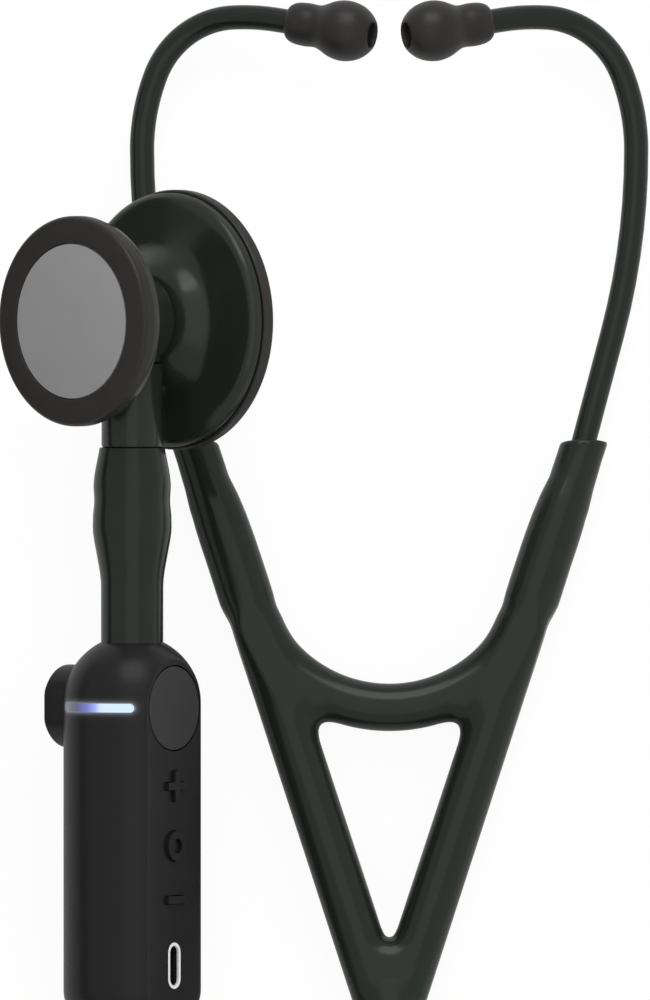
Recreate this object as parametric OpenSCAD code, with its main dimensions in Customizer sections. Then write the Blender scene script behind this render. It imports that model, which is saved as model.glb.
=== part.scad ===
// Electronic stethoscope lying on a table: a double-sided chestpiece, an in-line amplifier module,
// a sprung yoke with two ear tubes, and the tube that joins the two.
// Millimetres. X to the right, Y from the yoke to the ear tips, Z up from the table.

/* [Layout] */
// Distance between the headset's axis and the module's axis
axis_gap = 51.2; // [46:0.2:60]
// Rise of the module's axis towards the chestpiece, degrees
column_tilt = 10.2; // [9:0.1:13]
// Roll of the module about its axis, degrees
module_roll = 36; // [20:1:50]
// Turn of the chestpiece about the stem, degrees
chest_turn = 45; // [30:1:60]
// Drop of the headset towards the ear tips, degrees
headset_pitch = 0.6; // [0.3:0.1:0.8]

/* [Chestpiece] */
// Adult side, outside diameter of its rim
adult_d = 51.8; // [48:0.2:54]
// Paediatric side, outside diameter of its rim
pediatric_d = 41.8; // [38:0.2:44]
// Stem axis to the adult face
adult_face = 14.4; // [14:0.1:16]
// Stem axis to the paediatric face
pediatric_face = 17.1; // [16:0.1:18]
// Height of the soft rims
rim_h = 3.0; // [2.6:0.1:3.4]
// Width of the rims' faces
rim_face_w = 5.4; // [4.6:0.1:6]
// Thickness of the rims' lips
rim_lip = 1.0; // [0.8:0.1:1.3]
// Thickness of the rims' side walls
rim_wall = 1.3; // [1:0.1:1.6]
// Thickness of a diaphragm
diaphragm_t = 0.7; // [0.5:0.05:0.9]
// How far a diaphragm gives under the finger
diaphragm_travel = 0.4; // [0.2:0.05:0.5]
// Diameter of the waist between the two sides
waist_d = 17.6; // [16:0.2:19]
// Height of the metal band beside each rim
band_h = 2.5; // [2:0.1:3]
// Diameter of the sound bore between the two sides
cross_bore = 4.4; // [3.6:0.1:5]

/* [Stem and short tube] */
// Outside diameter of the stem
stem_d = 12.2; // [11.6:0.1:12.4]
// Length of stem that shows
stem_len = 16.8; // [15:0.2:20]
// Diameter of the stem's pivot in the chestpiece
pivot_d = 8; // [7.4:0.1:8.6]
// Sound bore of the stem and the nipples
bore_d = 4; // [3.2:0.1:4.4]
// Outside diameter of the tubes
tube_d = 12.4; // [11.8:0.1:13]
// Diameter of the nipples inside the tubes
nipple_d = 6.6; // [6:0.1:7]
// Diameter of the stem's large barb
barb_d = 9.8; // [9:0.1:10.4]
// Length of short tube between the dome and the stem
short_tube_len = 38.8; // [36:0.2:46]

/* [Module] */
// Diameter of the module's round sides
module_d = 27.5; // [27:0.1:29]
// Width across the module's two flats
flat_w = 20.8; // [20.4:0.1:22]
// Height at which the dome starts
dome_s = 63; // [62:0.2:66]
// Radius of the bottom edge
edge_r = 6; // [5:0.2:7]
// Wall of the casing
wall = 1.8; // [1.6:0.1:2]
// Front-to-seam distance from the axis
seam_y = 9; // [8.8:0.1:9.6]
// Distance of the knob's axis below the dome's start
knob_drop = 0.7; // [0.2:0.1:1]
// Diameter of the knob
knob_d = 16.6; // [15:0.1:17]
// Width across the knob's two flats
knob_flat = 14.8; // [12:0.1:16]
// How far the knob stands out
knob_h = 5.9; // [5:0.1:7]
// Diameter of the valve barrel
barrel_d = 8; // [7.4:0.1:8.6]
// Diameter of the disc on the valve's other end
disc_d = 16.8; // [16:0.1:17]
// Thickness of that disc
disc_t = 1.45; // [1.2:0.05:1.6]
// Height of the light bar
light_h = 1.8; // [1.6:0.1:2.4]
// Half angle that the light bar takes, degrees
light_half = 38; // [30:1:40]
// Heights of the three keys above the bottom
plus_s = 46.8; // [45:0.1:48]
ring_s = 34.9; // [33:0.1:36]
minus_s = 24.2; // [22.5:0.1:25]
// Length of the key signs
key_w = 6; // [5:0.1:6.6]
// Width of the strokes of the key signs
key_stroke = 1.5; // [1.2:0.1:1.8]
// How far the keys stand out
key_out = 0.85; // [0.7:0.05:1.1]
// Travel of the keys
key_travel = 0.5; // [0.3:0.05:0.6]
// Height of the charging port above the bottom
port_s = 11.1; // [10.6:0.1:12]
// Length and width of the port's trim ring
port_l = 9.2; // [9:0.1:9.6]
port_w = 4.1; // [3.9:0.1:4.5]
// Line width and thickness of the trim ring
trim_w = 0.6; // [0.4:0.05:0.8]
trim_t = 0.5; // [0.4:0.05:0.8]
// Thickness, width and length of the circuit board
board_t = 1; // [0.8:0.1:1.2]
board_w = 14.8; // [14:0.1:15.4]
board_l = 46.4; // [44:0.1:47]
// Thickness, width and length of the battery
battery_t = 5.2; // [4.6:0.1:5.6]
battery_w = 14; // [12:0.1:14.4]
battery_l = 41; // [38:0.5:42]

/* [Headset] */
// Angle of each arm from the headset's axis
arm_angle = 18; // [17:0.1:19]
// Diameter of the arms below the bridge
leg_d = 9.8; // [9:0.1:10.2]
// Diameter of the sleeves that hold the ear tubes
sleeve_d = 10.66; // [10:0.1:11.2]
// Distance from the yoke's base to the sleeve ends, along the headset
sleeve_top = 116.8; // [114:0.2:120]
// Height of the bridge's centre
bridge_w = 92.6; // [91:0.1:94]
// Radius of the bridge's centre line
bridge_r = 29.4; // [28.6:0.1:30]
// Diameter of the bridge
bridge_d = 9.5; // [8.8:0.1:10]
// Thickness and width of the leaf spring
spring_t = 0.6; // [0.4:0.05:0.8]
spring_w = 5.2; // [4.4:0.1:5.8]
// Outside diameter of the ear tubes
ear_tube_d = 4.9; // [4.4:0.1:5]
// Bore of the ear tubes
ear_bore = 3; // [2.6:0.1:3.2]
// Depth of an ear tube in its sleeve
ear_depth = 20; // [16:0.5:24]
// Distance of an ear tube outside its sleeve's axis, at the sleeve's end
ear_out = 0.2; // [0:0.1:0.6]
// Outward lean of the ear tubes, degrees
ear_lean = 14.7; // [14:0.1:15.6]
// Straight length of ear tube above the sleeve
ear_straight = 22.8; // [20:0.1:25]
// Radii of the four bends, and the angles of the last three
ear_r1 = 148; // [140:1:170]
ear_r2 = 40; // [36:1:44]
ear_r3 = 17.2; // [16:0.2:19]
ear_r4 = 45; // [40:1:50]
ear_a2 = 22; // [20:0.5:24]
ear_a3 = 68; // [64:0.5:70]
ear_a4 = 12; // [8:0.5:14]
// Turn of the upper bends towards the wearer, degrees
ear_forward = 18; // [12:1:22]
// Largest diameter of an ear tip
eartip_d = 12.2; // [11:0.1:13]
// Length of an ear tip
eartip_len = 18.2; // [17.2:0.1:20]

/* [Fits] */
// Gap around parts that turn or slide
run_gap = 0.05; // [0.03:0.01:0.1]
// Gap around parts that sit still in each other
seat_gap = 0.03; // [0.02:0.01:0.06]
// Gap that shows around the keys and the end disc
show_gap = 0.15; // [0.1:0.01:0.25]

/* [Hidden] */
$fn = 56;

module_r = module_d / 2;
flat_x = flat_w / 2;
knob_s = dome_s - knob_drop;
inner_x = flat_x - wall;
inner_r = module_r - wall;
tube_r = tube_d / 2;
// where the dome's round meets the tube
dome_top = dome_s + sqrt(module_r * module_r - tube_r * tube_r);
tube_top = dome_top + short_tube_len;
// the stem's shoulder stands just clear of the waist
boss_reach = 8.4;
chest_s = tube_top + stem_len + boss_reach;
shoulder_s = tube_top + stem_len;

adult_r = adult_d / 2;
pediatric_r = pediatric_d / 2;
rim_round = 1;
// the waist's round bodies leave the rims' height and the metal band
adult_band_r = adult_r - 0.6;
pediatric_band_r = pediatric_r - 0.6;

// valve block and what stands on it
block_r = barrel_d / 2 + 2;
block_half = 4.5;
block_low = knob_s - 7;
block_high = knob_s + 7;
pad_x = inner_x - 1.4;
disc_x = flat_x - disc_t;

// lower end of the short tube on the upper connector's flange
flange_t = 1;
tube_foot = block_high + flange_t + seat_gap;
nipple_top = tube_foot + 15;

connector_top = 9;
board_x = 5.2;
switch_h = 0.85;
key_flange = 0.65;
battery_x = inner_x - 0.1 - battery_t;

// headset
arm_start = 0.7;
leg_r = leg_d / 2;
sleeve_r = sleeve_d / 2;
trunk_len = 4;
sleeve_mid = sleeve_top - 20;
headset_z = sleeve_r + sleeve_mid * sin(headset_pitch) + 0.05;
// distance of an arm's axis from the headset's axis, at a distance w from the base
function arm_u(w) = arm_start + w * tan(arm_angle);

// points along the ear tube, in the headset's plane, up to the last bend
ear_u0 = arm_start + sleeve_top * tan(arm_angle) + ear_out;
ear_u1 = ear_u0 + ear_straight * sin(ear_lean);
ear_w1 = sleeve_top + ear_straight * cos(ear_lean);
ear_u2 = ear_u1 + ear_r1 * (1 - cos(ear_lean));
ear_w2 = ear_w1 + ear_r1 * sin(ear_lean);
ear_over = ear_a2 + ear_a3 + ear_a4 - 90;
ear_w5 = ear_w2 + ear_r2 * sin(ear_a2) + ear_r3 * (sin(ear_a2 + ear_a3) - sin(ear_a2))
    + ear_r4 * (sin(90 + ear_over) - sin(ear_a2 + ear_a3));
tip_lead = 2.7;
tip_bulb = 12.8 * eartip_len / 19.3;
tip_top = ear_w5 - (tip_lead + tip_bulb) * sin(ear_over) + eartip_d / 2 * cos(ear_over);

// the assembly stands on the origin, its box centred over it
left_reach = (pediatric_face - rim_round) * sin(chest_turn)
    + (pediatric_r - rim_round) * cos(chest_turn) + rim_round;
right_reach = ear_u2 + ear_tube_d / 2;
headset_x = (axis_gap + left_reach - right_reach) / 2;
headset_y = (trunk_len - tip_top) / 2;
column_x = headset_x - axis_gap;
column_y = headset_y - 0.8;
column_z = edge_r + (module_r - edge_r) * cos(column_tilt) - edge_r * sin(column_tilt);

// route of the main tube: out of the yoke, in a drop-shaped loop on the table, into the module's foot
end_gap = 0.02;
route = [
    [headset_x, headset_y - (trunk_len + end_gap) * cos(headset_pitch),
        headset_z + trunk_len * sin(headset_pitch)],
    [14, -114, 6.3], [17, -123, 6.3], [21, -132, 6.3], [27, -140, 6.3], [37, -157, 6.3], [40.5, -177, 6.3],
    [36, -197, 6.3], [24.5, -213.5, 6.3], [7.5, -224.5, 6.3], [-12.5, -228.5, 6.3], [-32.5, -224.5, 6.3],
    [-49.5, -213.5, 6.3], [-61, -197, 6.3], [-65.5, -177, 6.3], [-62, -157, 6.3], [-52, -140, 6.7],
    [-46, -132, 7.4], [-42, -123, 8.7], [-39, -114, 10.2],
    [column_x, column_y - end_gap * cos(column_tilt), column_z - end_gap * sin(column_tilt)]];

// Points on a circle's arc, from angle a to angle b in n steps
function arc(x, y, r, a, b, n) =
    [for (i = [0 : n]) [x + r * cos(a + (b - a) * i / n), y + r * sin(a + (b - a) * i / n)]];
// Smooth step from 0 to 1
function ease(t) = t <= 0 ? 0 : t >= 1 ? 1 : t * t * (3 - 2 * t);

// Frames: the column's z runs up the module's axis, with -y towards the viewer above the table
module column() translate([column_x, column_y, column_z]) rotate([column_tilt - 90, 0, 0]) children();
module casing_frame() column() rotate([0, 0, -module_roll]) children();
// the chestpiece's z runs out of the paediatric face, with the stem along -y
module chest() column() translate([0, 0, chest_s]) rotate([0, 0, -chest_turn]) rotate([90, 0, 0]) children();
module headset() translate([headset_x, headset_y, headset_z]) rotate([-headset_pitch, 0, 0]) children();
module side(s) mirror([s < 0 ? 1 : 0, 0, 0]) children();
module arm() translate([arm_start, 0, 0]) rotate([0, 0, -arm_angle]) rotate([-90, 0, 0]) children();
// things that run along x of the casing
module across(x, s) translate([x, 0, s]) rotate([0, 90, 0]) children();

module ring(r_out, r_in, h) difference() {
    cylinder(r = r_out, h = h);
    translate([0, 0, -1]) cylinder(r = r_in, h = h + 2);
}

// Obround lying in x, with its length along y
module obround(l, w) {
    for (s = [-1, 1]) translate([0, s * (l - w) / 2]) circle(d = w);
    square([w, l - w], center = true);
}

// Chestpiece: the outline of one half, from the rim's seat to the waist. Its bell runs nearly flat from the
// band, then down a cone to the waist: shares of the way in, and of the way down
bell_in = [0, 0.28, 0.46, 0.56, 0.66, 0.81, 0.89, 0.95, 1];
bell_down = [0, 0.035, 0.085, 0.15, 0.3, 0.7, 0.87, 0.965, 1];
function half_outline(r, r_band, z_seat, z_rim, flare) = [
    [r - rim_wall - seat_gap, z_seat], [r - rim_wall - seat_gap, z_rim], [r_band, z_rim],
    [r_band, z_rim - band_h + 0.7], [r_band - 0.7, z_rim - band_h],
    for (i = [0 : 8])
        [r_band - 1.6 - (r_band - 1.6 - waist_d / 2) * bell_in[i],
         z_rim - band_h - 0.3 - (z_rim - band_h - 0.3 - flare) * bell_down[i]]];
adult_seat = adult_face - rim_lip - diaphragm_t - diaphragm_travel - 3 * run_gap;
pediatric_seat = pediatric_face - rim_lip - diaphragm_t - diaphragm_travel - 3 * run_gap;

module chestpiece_body() color("#3a3f3a") chest() difference() {
    union() {
        rotate_extrude() polygon(concat(
            [[0, pediatric_seat]],
            half_outline(pediatric_r, pediatric_band_r, pediatric_seat, pediatric_face - rim_h, 3.5),
            [for (p = [for (i = [13 : -1 : 0])
                half_outline(adult_r, adult_band_r, adult_seat, adult_face - rim_h, 3)[i]]) [p[0], -p[1]]],
            [[0, -adult_seat]]));
        rotate([90, 0, 0]) cylinder(d = stem_d - 0.2, h = boss_reach - run_gap);
    }
    // shallow sound cups behind the diaphragms
    translate([0, 0, pediatric_seat - 4]) cylinder(r1 = cross_bore / 2, r2 = pediatric_r - 4.6, h = 4.01);
    translate([0, 0, -adult_seat - 0.01]) cylinder(r1 = adult_r - 4.6, r2 = cross_bore / 2, h = 4.01);
    translate([0, 0, -adult_seat]) cylinder(d = cross_bore, h = adult_seat + pediatric_seat);
    // pivot bore with the retaining ring's groove
    rotate([90, 0, 0]) translate([0, 0, -5.6 - run_gap])
        cylinder(d = pivot_d + 2 * run_gap, h = boss_reach + 8);
    rotate([90, 0, 0]) translate([0, 0, boss_reach - 2.6]) cylinder(d = pivot_d + 1.5, h = 1.1);
    // spot face that the stem's shoulder turns against
    rotate([90, 0, 0]) translate([0, 0, boss_reach - run_gap]) cylinder(d = stem_d + 2 * show_gap, h = 20);
}

module rim(r, face) rotate_extrude() polygon(concat(
    [[r - rim_face_w, face - rim_lip], [r - rim_face_w, face - 0.25], [r - rim_face_w + 0.35, face]],
    arc(r - rim_round, face - rim_round, rim_round, 90, 0, 5),
    [[r, face - rim_h + seat_gap], [r - rim_wall, face - rim_h + seat_gap],
     [r - rim_wall, face - rim_lip]]));
module adult_rim() color("#322e2c") chest() mirror([0, 0, 1]) rim(adult_r, adult_face);
module pediatric_rim() color("#322e2c") chest() rim(pediatric_r, pediatric_face);

module diaphragm(r, face) rotate_extrude() polygon([
    [0, face - rim_lip - run_gap - diaphragm_t],
    [r - rim_wall - 1.2, face - rim_lip - run_gap - diaphragm_t],
    [r - rim_wall - 1.2, face - rim_lip - run_gap], [r - rim_face_w - show_gap, face - rim_lip - run_gap],
    [r - rim_face_w - show_gap, face - 0.15], [r - rim_face_w - show_gap - 0.2, face - 0.05],
    [0, face - 0.05]]);
module adult_diaphragm() color("#878787") chest() mirror([0, 0, 1]) diaphragm(adult_r, adult_face);
module pediatric_diaphragm() color("#878787") chest() diaphragm(pediatric_r, pediatric_face);

// Stem: barbs in the tube, a plain barrel, and the pivot in the chestpiece
function barb_line() = [[nipple_d / 2, tube_top - 22], [barb_d / 2, tube_top - 15.6],
    [barb_d / 2 - 1, tube_top - 14.4], [barb_d / 2 - 0.7, tube_top - 9], [barb_d / 2 - 0.2, tube_top - 7],
    [barb_d / 2 - 1, tube_top - 6], [barb_d / 2 - 1.2, tube_top]];
module stem() color("#3a3f3a") column() difference() {
    rotate_extrude() polygon(concat([[0, tube_top - 22]], barb_line(),
        [[stem_d / 2 - 0.4, tube_top], [stem_d / 2, tube_top + 0.4], [stem_d / 2, shoulder_s - 0.6],
         [stem_d / 2 - 0.6, shoulder_s], [pivot_d / 2, shoulder_s], [pivot_d / 2, chest_s + 5.4],
         [0, chest_s + 5.4]]));
    translate([0, 0, tube_top - 23]) cylinder(d = bore_d, h = chest_s - tube_top + 25);
    // one port, open to one side at a time
    translate([0, 0, chest_s]) rotate([0, 0, -chest_turn]) rotate([90, 0, 0])
        cylinder(d = cross_bore, h = pivot_d);
    translate([0, 0, shoulder_s + 1.5]) ring(pivot_d, pivot_d / 2 - 0.5, 1.1);
    translate([0, 0, shoulder_s + 4]) ring(pivot_d, pivot_d / 2 - 0.7, 1.2);
}
module stem_retaining_ring() color("#b8b8b4") column()
    translate([0, 0, shoulder_s + 1.5 + run_gap])
        ring(pivot_d / 2 + 0.7, pivot_d / 2 - 0.5 + seat_gap, 1.1 - 2 * run_gap);
module stem_seal() color("#1a1a1a") column()
    translate([0, 0, shoulder_s + 4 + seat_gap])
        ring(pivot_d / 2 + run_gap / 2, pivot_d / 2 - 0.7 + seat_gap, 1.2 - 2 * seat_gap);

// Short tube, swollen over the stem's barbs
function swell(d) = tube_r + 1.5 * ease((d + 3) / 11) * ease((28 - d) / 12)
    + 0.15 * ease(1 - abs(d - 15.6) / 5) - 0.15 * ease(1 - abs(d - 10.6) / 3);
module short_tube() color("#2c322d") column() rotate_extrude() polygon(concat(
    [[nipple_d / 2 + seat_gap, tube_foot], [tube_r, tube_foot], [tube_r, tube_top - 28]],
    [for (i = [1 : 18]) [swell(28 - 1.5 * i), tube_top - 28 + 1.5 * i]],
    [[swell(0.4), tube_top - 0.4], [swell(0) - 0.35, tube_top - seat_gap]],
    [for (i = [6 : -1 : 0]) barb_line()[i] + [seat_gap, i == 6 ? -seat_gap : 0]]));

// Casing of the module: round sides, two flats, a domed top and a rounded bottom edge
module casing_form(r, x, bottom, edge) intersection() {
    rotate_extrude() polygon(concat([[0, bottom]], arc(r - edge, bottom + edge, edge, -90, 0, 6),
        arc(0, dome_s, r, 0, 90, 14)));
    translate([-x, -2 * r, 0]) cube([2 * x, 4 * r, 2 * dome_s]);
}
module casing_shell() difference() {
    casing_form(module_r, flat_x, 0, edge_r);
    casing_form(inner_r, inner_x, wall, edge_r - wall);
    // the tubes' openings
    translate([0, 0, dome_s]) cylinder(r = tube_r + show_gap, h = module_r);
    translate([0, 0, -1]) cylinder(r = tube_r + seat_gap, h = 2 * wall);
}
// the four screws through the back cover, with bosses that stay clear of the lower connector's flange
screw_x = inner_x - 2.3;
screw_low = 4;
screw_high = knob_s - 6.9;
boss_r = 1.8;
boss_y = sqrt(pow(tube_r + 1, 2) - pow(screw_x - boss_r, 2)) + 0.3;
module at_screws() for (x = [-screw_x, screw_x], s = [screw_low, screw_high])
    translate([x, 0, s]) rotate([-90, 0, 0]) children();
module key_holes(gap) {
    across(flat_x - wall - 1, plus_s) linear_extrude(2 * wall) cross_sign(gap);
    across(flat_x - wall - 1, ring_s) cylinder(d = key_w + 2 * gap, h = 2 * wall);
    across(flat_x - wall - 1, minus_s) linear_extrude(2 * wall) bar_sign(gap);
}
module cross_sign(gap) {
    square([key_w + 2 * gap, key_stroke + 2 * gap], center = true);
    square([key_stroke + 2 * gap, key_w + 2 * gap], center = true);
}
module bar_sign(gap) square([key_stroke + 2 * gap, key_w + 2 * gap], center = true);

module housing() color("#2b2b2b") casing_frame() difference() {
    intersection() {
        union() {
            casing_shell();
            // seat of the end disc, posts of the board and bosses of the screws
            intersection() {
                casing_form(module_r - 0.2, flat_x - 0.2, 0.2, edge_r);
                union() {
                    across(pad_x, knob_s) cylinder(d = disc_d + 2.4, h = inner_x - pad_x + 0.4);
                    for (y = [-6, 6], s = [18.5, 50]) translate([0, y, 0])
                        across(board_x + board_t + seat_gap, s) cylinder(d = 2, h = inner_x - board_x);
                    at_screws() translate([0, 0, boss_y]) cylinder(r = boss_r, h = seam_y - boss_y);
                    for (x = [-1, 1], s = [screw_low, screw_high])
                        translate([x * (screw_x + inner_x) / 2 - 1.6, boss_y, s - 1])
                            cube([3.2, seam_y - boss_y, 2]);
                }
            }
        }
        translate([-50, -50, -5]) cube([100, 50 + seam_y, 100]);
    }
    across(-flat_x - 1, knob_s) cylinder(d = barrel_d + 2 * run_gap, h = flat_w + 2);
    across(disc_x - run_gap, knob_s) cylinder(d = disc_d + 2 * show_gap, h = wall + 2);
    key_holes(show_gap);
    // the port's slot, and the shallow seat of its trim ring
    across(flat_x - wall - 1, port_s) linear_extrude(2 * wall) rotate(90)
        obround(port_l - 2 * trim_w, port_w - 2 * trim_w);
    across(flat_x - trim_t, port_s) linear_extrude(wall) rotate(90)
        obround(port_l + 2 * seat_gap, port_w + 2 * seat_gap);
    translate([0, 0, knob_s - light_h / 2 - seat_gap]) rotate([0, 0, -90 - light_half - 0.1])
        rotate_extrude(angle = 2 * light_half + 0.2) translate([inner_r - 2, 0])
            square([wall + 4, light_h + 2 * seat_gap]);
    at_screws() translate([0, 0, boss_y + 0.6]) cylinder(d = 1.5, h = module_r);
}
module back_cover() color("#2b2b2b") casing_frame() difference() {
    intersection() {
        casing_shell();
        translate([-50, seam_y + seat_gap, -5]) cube([100, 50, 100]);
    }
    at_screws() cylinder(d = 1.7, h = module_r);
    at_screws() translate([0, 0, seam_y + 1]) cylinder(d = 3.2, h = module_r);
}
module back_cover_screws() color("#8c8c8c") casing_frame() at_screws() difference() {
    union() {
        translate([0, 0, boss_y + 0.8]) cylinder(d = 1.44, h = seam_y + 1 - boss_y - 0.4);
        translate([0, 0, seam_y + 1 + seat_gap]) cylinder(d = 2.9, h = 0.9);
    }
    translate([0, 0, seam_y + 1.5]) cylinder(d = 1.2, h = 2, $fn = 6);
}

// Valve: block, barrel, knob and end disc on one axis across the module
module valve_block() color("#d8d5c8") casing_frame() difference() {
    union() {
        across(-inner_x + 0.1, knob_s) cylinder(r = block_r, h = inner_x + pad_x - 0.2);
        translate([-block_half, -block_half, block_low])
            cube([2 * block_half, 2 * block_half, block_high - block_low]);
        translate([-2.5, -8.6, knob_s - 2]) cube([5, 5, 4]);
    }
    across(-inner_x - 1, knob_s) cylinder(d = barrel_d + 2 * run_gap, h = flat_w);
    translate([0, 0, block_low - 1]) cylinder(d = bore_d, h = 20);
    translate([0, 0, block_low - 1]) cylinder(d = bore_d + 0.8 + 2 * seat_gap, h = 3);
    // side ports and seats of the microphone and the speaker
    at_microphone() {
        translate([0, 0, -block_half]) cylinder(d = 1.4, h = 9);
        cylinder(d = microphone_d + 2 * seat_gap, h = 9);
    }
    at_speaker() {
        translate([0, 0, -block_half]) cylinder(d = 1.4, h = 9);
        cylinder(d = speaker_d + 2 * seat_gap, h = 9);
    }
}
module valve_barrel() color("#c9c9c9") casing_frame() difference() {
    union() {
        across(-flat_x - knob_h + 2, knob_s)
            cylinder(d = barrel_d, h = flat_x + knob_h - 2 + disc_x - 2 * run_gap);
        across(0, knob_s) cylinder(d = barrel_d - 3, h = flat_x - 0.5);
    }
    translate([0, 0, knob_s - barrel_d]) cylinder(d = bore_d, h = 2 * barrel_d);
}
module mode_knob() color("#222222") casing_frame() across(-flat_x - run_gap, knob_s) mirror([0, 0, 1])
    difference() {
        intersection() {
            rotate_extrude() polygon(concat([[0, 0], [knob_d / 2 - 0.3, 0], [knob_d / 2, 0.3]],
                arc(knob_d / 2 - 0.6, knob_h - run_gap - 0.6, 0.6, 0, 90, 6), [[0, knob_h - run_gap]]));
            // two flats, which make it a bar to grip
            cube([2 * knob_d, knob_flat, 3 * knob_h], center = true);
        }
        translate([0, 0, -1]) cylinder(d = barrel_d + 2 * seat_gap, h = knob_h - 2 - run_gap + 1 + seat_gap);
    }
module valve_end_disc() color("#3d3d3d") casing_frame() across(disc_x, knob_s) difference() {
    cylinder(d = disc_d, h = disc_t);
    translate([0, 0, -1]) cylinder(d = barrel_d - 3 + 2 * seat_gap, h = 1 + disc_t - 0.5 + seat_gap);
}

// Sound path through the module
module upper_connector() color("#d8d5c8") column() difference() {
    union() {
        translate([0, 0, block_high]) cylinder(r = block_half + 1, h = flange_t);
        translate([0, 0, block_high]) cylinder(d = nipple_d, h = nipple_top - block_high);
    }
    translate([0, 0, block_high - 1]) cylinder(d = bore_d, h = nipple_top);
}
module lower_connector() color("#d8d5c8") column() difference() {
    union() {
        cylinder(r = tube_r, h = wall + 1);
        translate([0, 0, wall + seat_gap]) cylinder(r = tube_r + 1, h = 1.5);
        cylinder(d = nipple_d, h = connector_top);
    }
    translate([0, 0, -1]) cylinder(d = bore_d, h = 12);
    translate([0, 0, connector_top - 3]) cylinder(d = bore_d + 0.8 + 2 * seat_gap, h = 12);
}
// its ends sit in the lower connector and the valve block
module sound_tube() color("#e4e4e4") column() translate([0, 0, connector_top - 3 + seat_gap])
    ring((bore_d + 0.8) / 2, bore_d / 2 - 0.4, block_low + 2 - connector_top + 3 - 2 * seat_gap);

// Lights on the front
module light_bar() color("#cfe0ff") casing_frame() translate([0, 0, knob_s - light_h / 2])
    rotate([0, 0, -90 - light_half]) rotate_extrude(angle = 2 * light_half)
        translate([inner_r - 0.3, 0]) square([wall + 0.3, light_h]);
module status_leds() color("#f4f4f4") casing_frame() {
    translate([-5, -9.4, knob_s - 2]) cube([10, 0.8, 4]);
    for (i = [-2 : 2]) translate([2 * i - 0.6, -10.3, knob_s - 0.6]) cube([1.2, 1, 1.2]);
}

// Board, switches and keys behind the right-hand flat
module circuit_board() color("#1f5a38") casing_frame() difference() {
    translate([board_x, -board_w / 2, 6.1]) cube([board_t, board_w, board_l]);
    across(board_x - 1, port_s) linear_extrude(board_t + 2) rotate(90)
        obround(port_l + 2 * seat_gap, port_w - 0.5 + 2 * seat_gap);
    translate([board_x - 1, -port_w / 2 + 0.25 - seat_gap, 5])
        cube([board_t + 2, port_w - 0.5 + 2 * seat_gap, port_s - 5]);
}
module button_switches() color("#9a9a9a") casing_frame()
    for (s = [plus_s, ring_s, minus_s]) {
        translate([board_x + board_t, -1.6, s - 1.6]) cube([switch_h - 0.3, 3.2, 3.2]);
        across(board_x + board_t, s) cylinder(d = 1.8, h = switch_h);
    }
// each key has a flange behind the wall and a peg over its switch
module key_back(s) {
    across(inner_x - run_gap - key_flange, s) cylinder(d = key_w + 2.2, h = key_flange);
    across(board_x + board_t + switch_h + key_travel + run_gap, s)
        cylinder(d = 1.6, h = inner_x - key_flange - board_x - board_t - switch_h - key_travel);
}
key_in = inner_x - run_gap - key_flange / 2;
key_high = flat_x + key_out - key_in;
module volume_up_button() color("#3a3a3a") casing_frame() {
    key_back(plus_s);
    across(key_in, plus_s) linear_extrude(key_high) cross_sign(0);
}
module center_button() color("#3a3a3a") casing_frame() difference() {
    union() {
        key_back(ring_s);
        across(key_in, ring_s) cylinder(d = key_w, h = key_high);
    }
    across(flat_x, ring_s) cylinder(d = key_w - 2 * key_stroke, h = 5);
}
module volume_down_button() color("#3a3a3a") casing_frame() {
    key_back(minus_s);
    across(key_in, minus_s) linear_extrude(key_high) bar_sign(0);
}

// Charging port: trim ring in the wall, receptacle in the board's notch
module port_trim_ring() color("#f2f2f2") casing_frame() across(flat_x - trim_t + seat_gap, port_s)
    linear_extrude(trim_t) rotate(90) difference() {
        obround(port_l, port_w);
        obround(port_l - 2 * trim_w, port_w - 2 * trim_w);
    }
// its back stays clear of the lower connector's nipple
port_back = nipple_d / 2 + 0.3;
module charging_port() color("#a8a8a8") casing_frame() across(port_back, port_s) rotate([0, 0, 90]) {
    difference() {
        linear_extrude(inner_x - port_back - seat_gap) obround(port_l, port_w - 0.5);
        translate([0, 0, 0.8]) linear_extrude(9) obround(port_l - 1, port_w - 1.5);
    }
    linear_extrude(inner_x - port_back - 1) square([0.7, port_l - 2.6], center = true);
}

module battery() color("#6f7f8c") casing_frame()
    translate([-battery_x - battery_t, -battery_w / 2, connector_top + 0.2])
        cube([battery_t, battery_w, battery_l]);
microphone_d = 4;
speaker_d = 4.4;
module at_microphone() translate([0, block_half, block_high - 2.4]) rotate([-90, 0, 0]) children();
module at_speaker() translate([0, -block_half, block_low + 2.4]) rotate([90, 0, 0]) children();
module microphone() color("#b89b4a") casing_frame() at_microphone() difference() {
    cylinder(d = microphone_d, h = 2.2);
    translate([0, 0, -1]) cylinder(d = 1.2, h = 1.8);
}
module speaker() color("#707070") casing_frame() at_speaker() difference() {
    cylinder(d = speaker_d, h = 2.6);
    translate([0, 0, -1]) cylinder(d = 1.2, h = 2);
}

// Yoke: two arms, the bridge between them and the trunk where they meet
function arm_line() = let (k = 1 / cos(arm_angle), r = sleeve_r, top = sleeve_top) [
    [0, 0], [leg_r, 0], [leg_r, k * (top - 35.5)], [r - 0.08, k * (top - 32.6)], [r, k * (top - 28)],
    [r, k * (top - 20)], [r - 0.08, k * (top - 15.9)], [r - 0.28, k * (top - 11.9)],
    [r - 0.78, k * (top - 7.8)], [r - 1.1, k * (top - 2.6)], [r - 1.13, k * top + 3], [0, k * top + 3]];
corner_r = 2.2;
crotch_r = 1.07;
crotch_w = ((leg_r + crotch_r) / cos(arm_angle) - arm_start) / tan(arm_angle);
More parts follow.
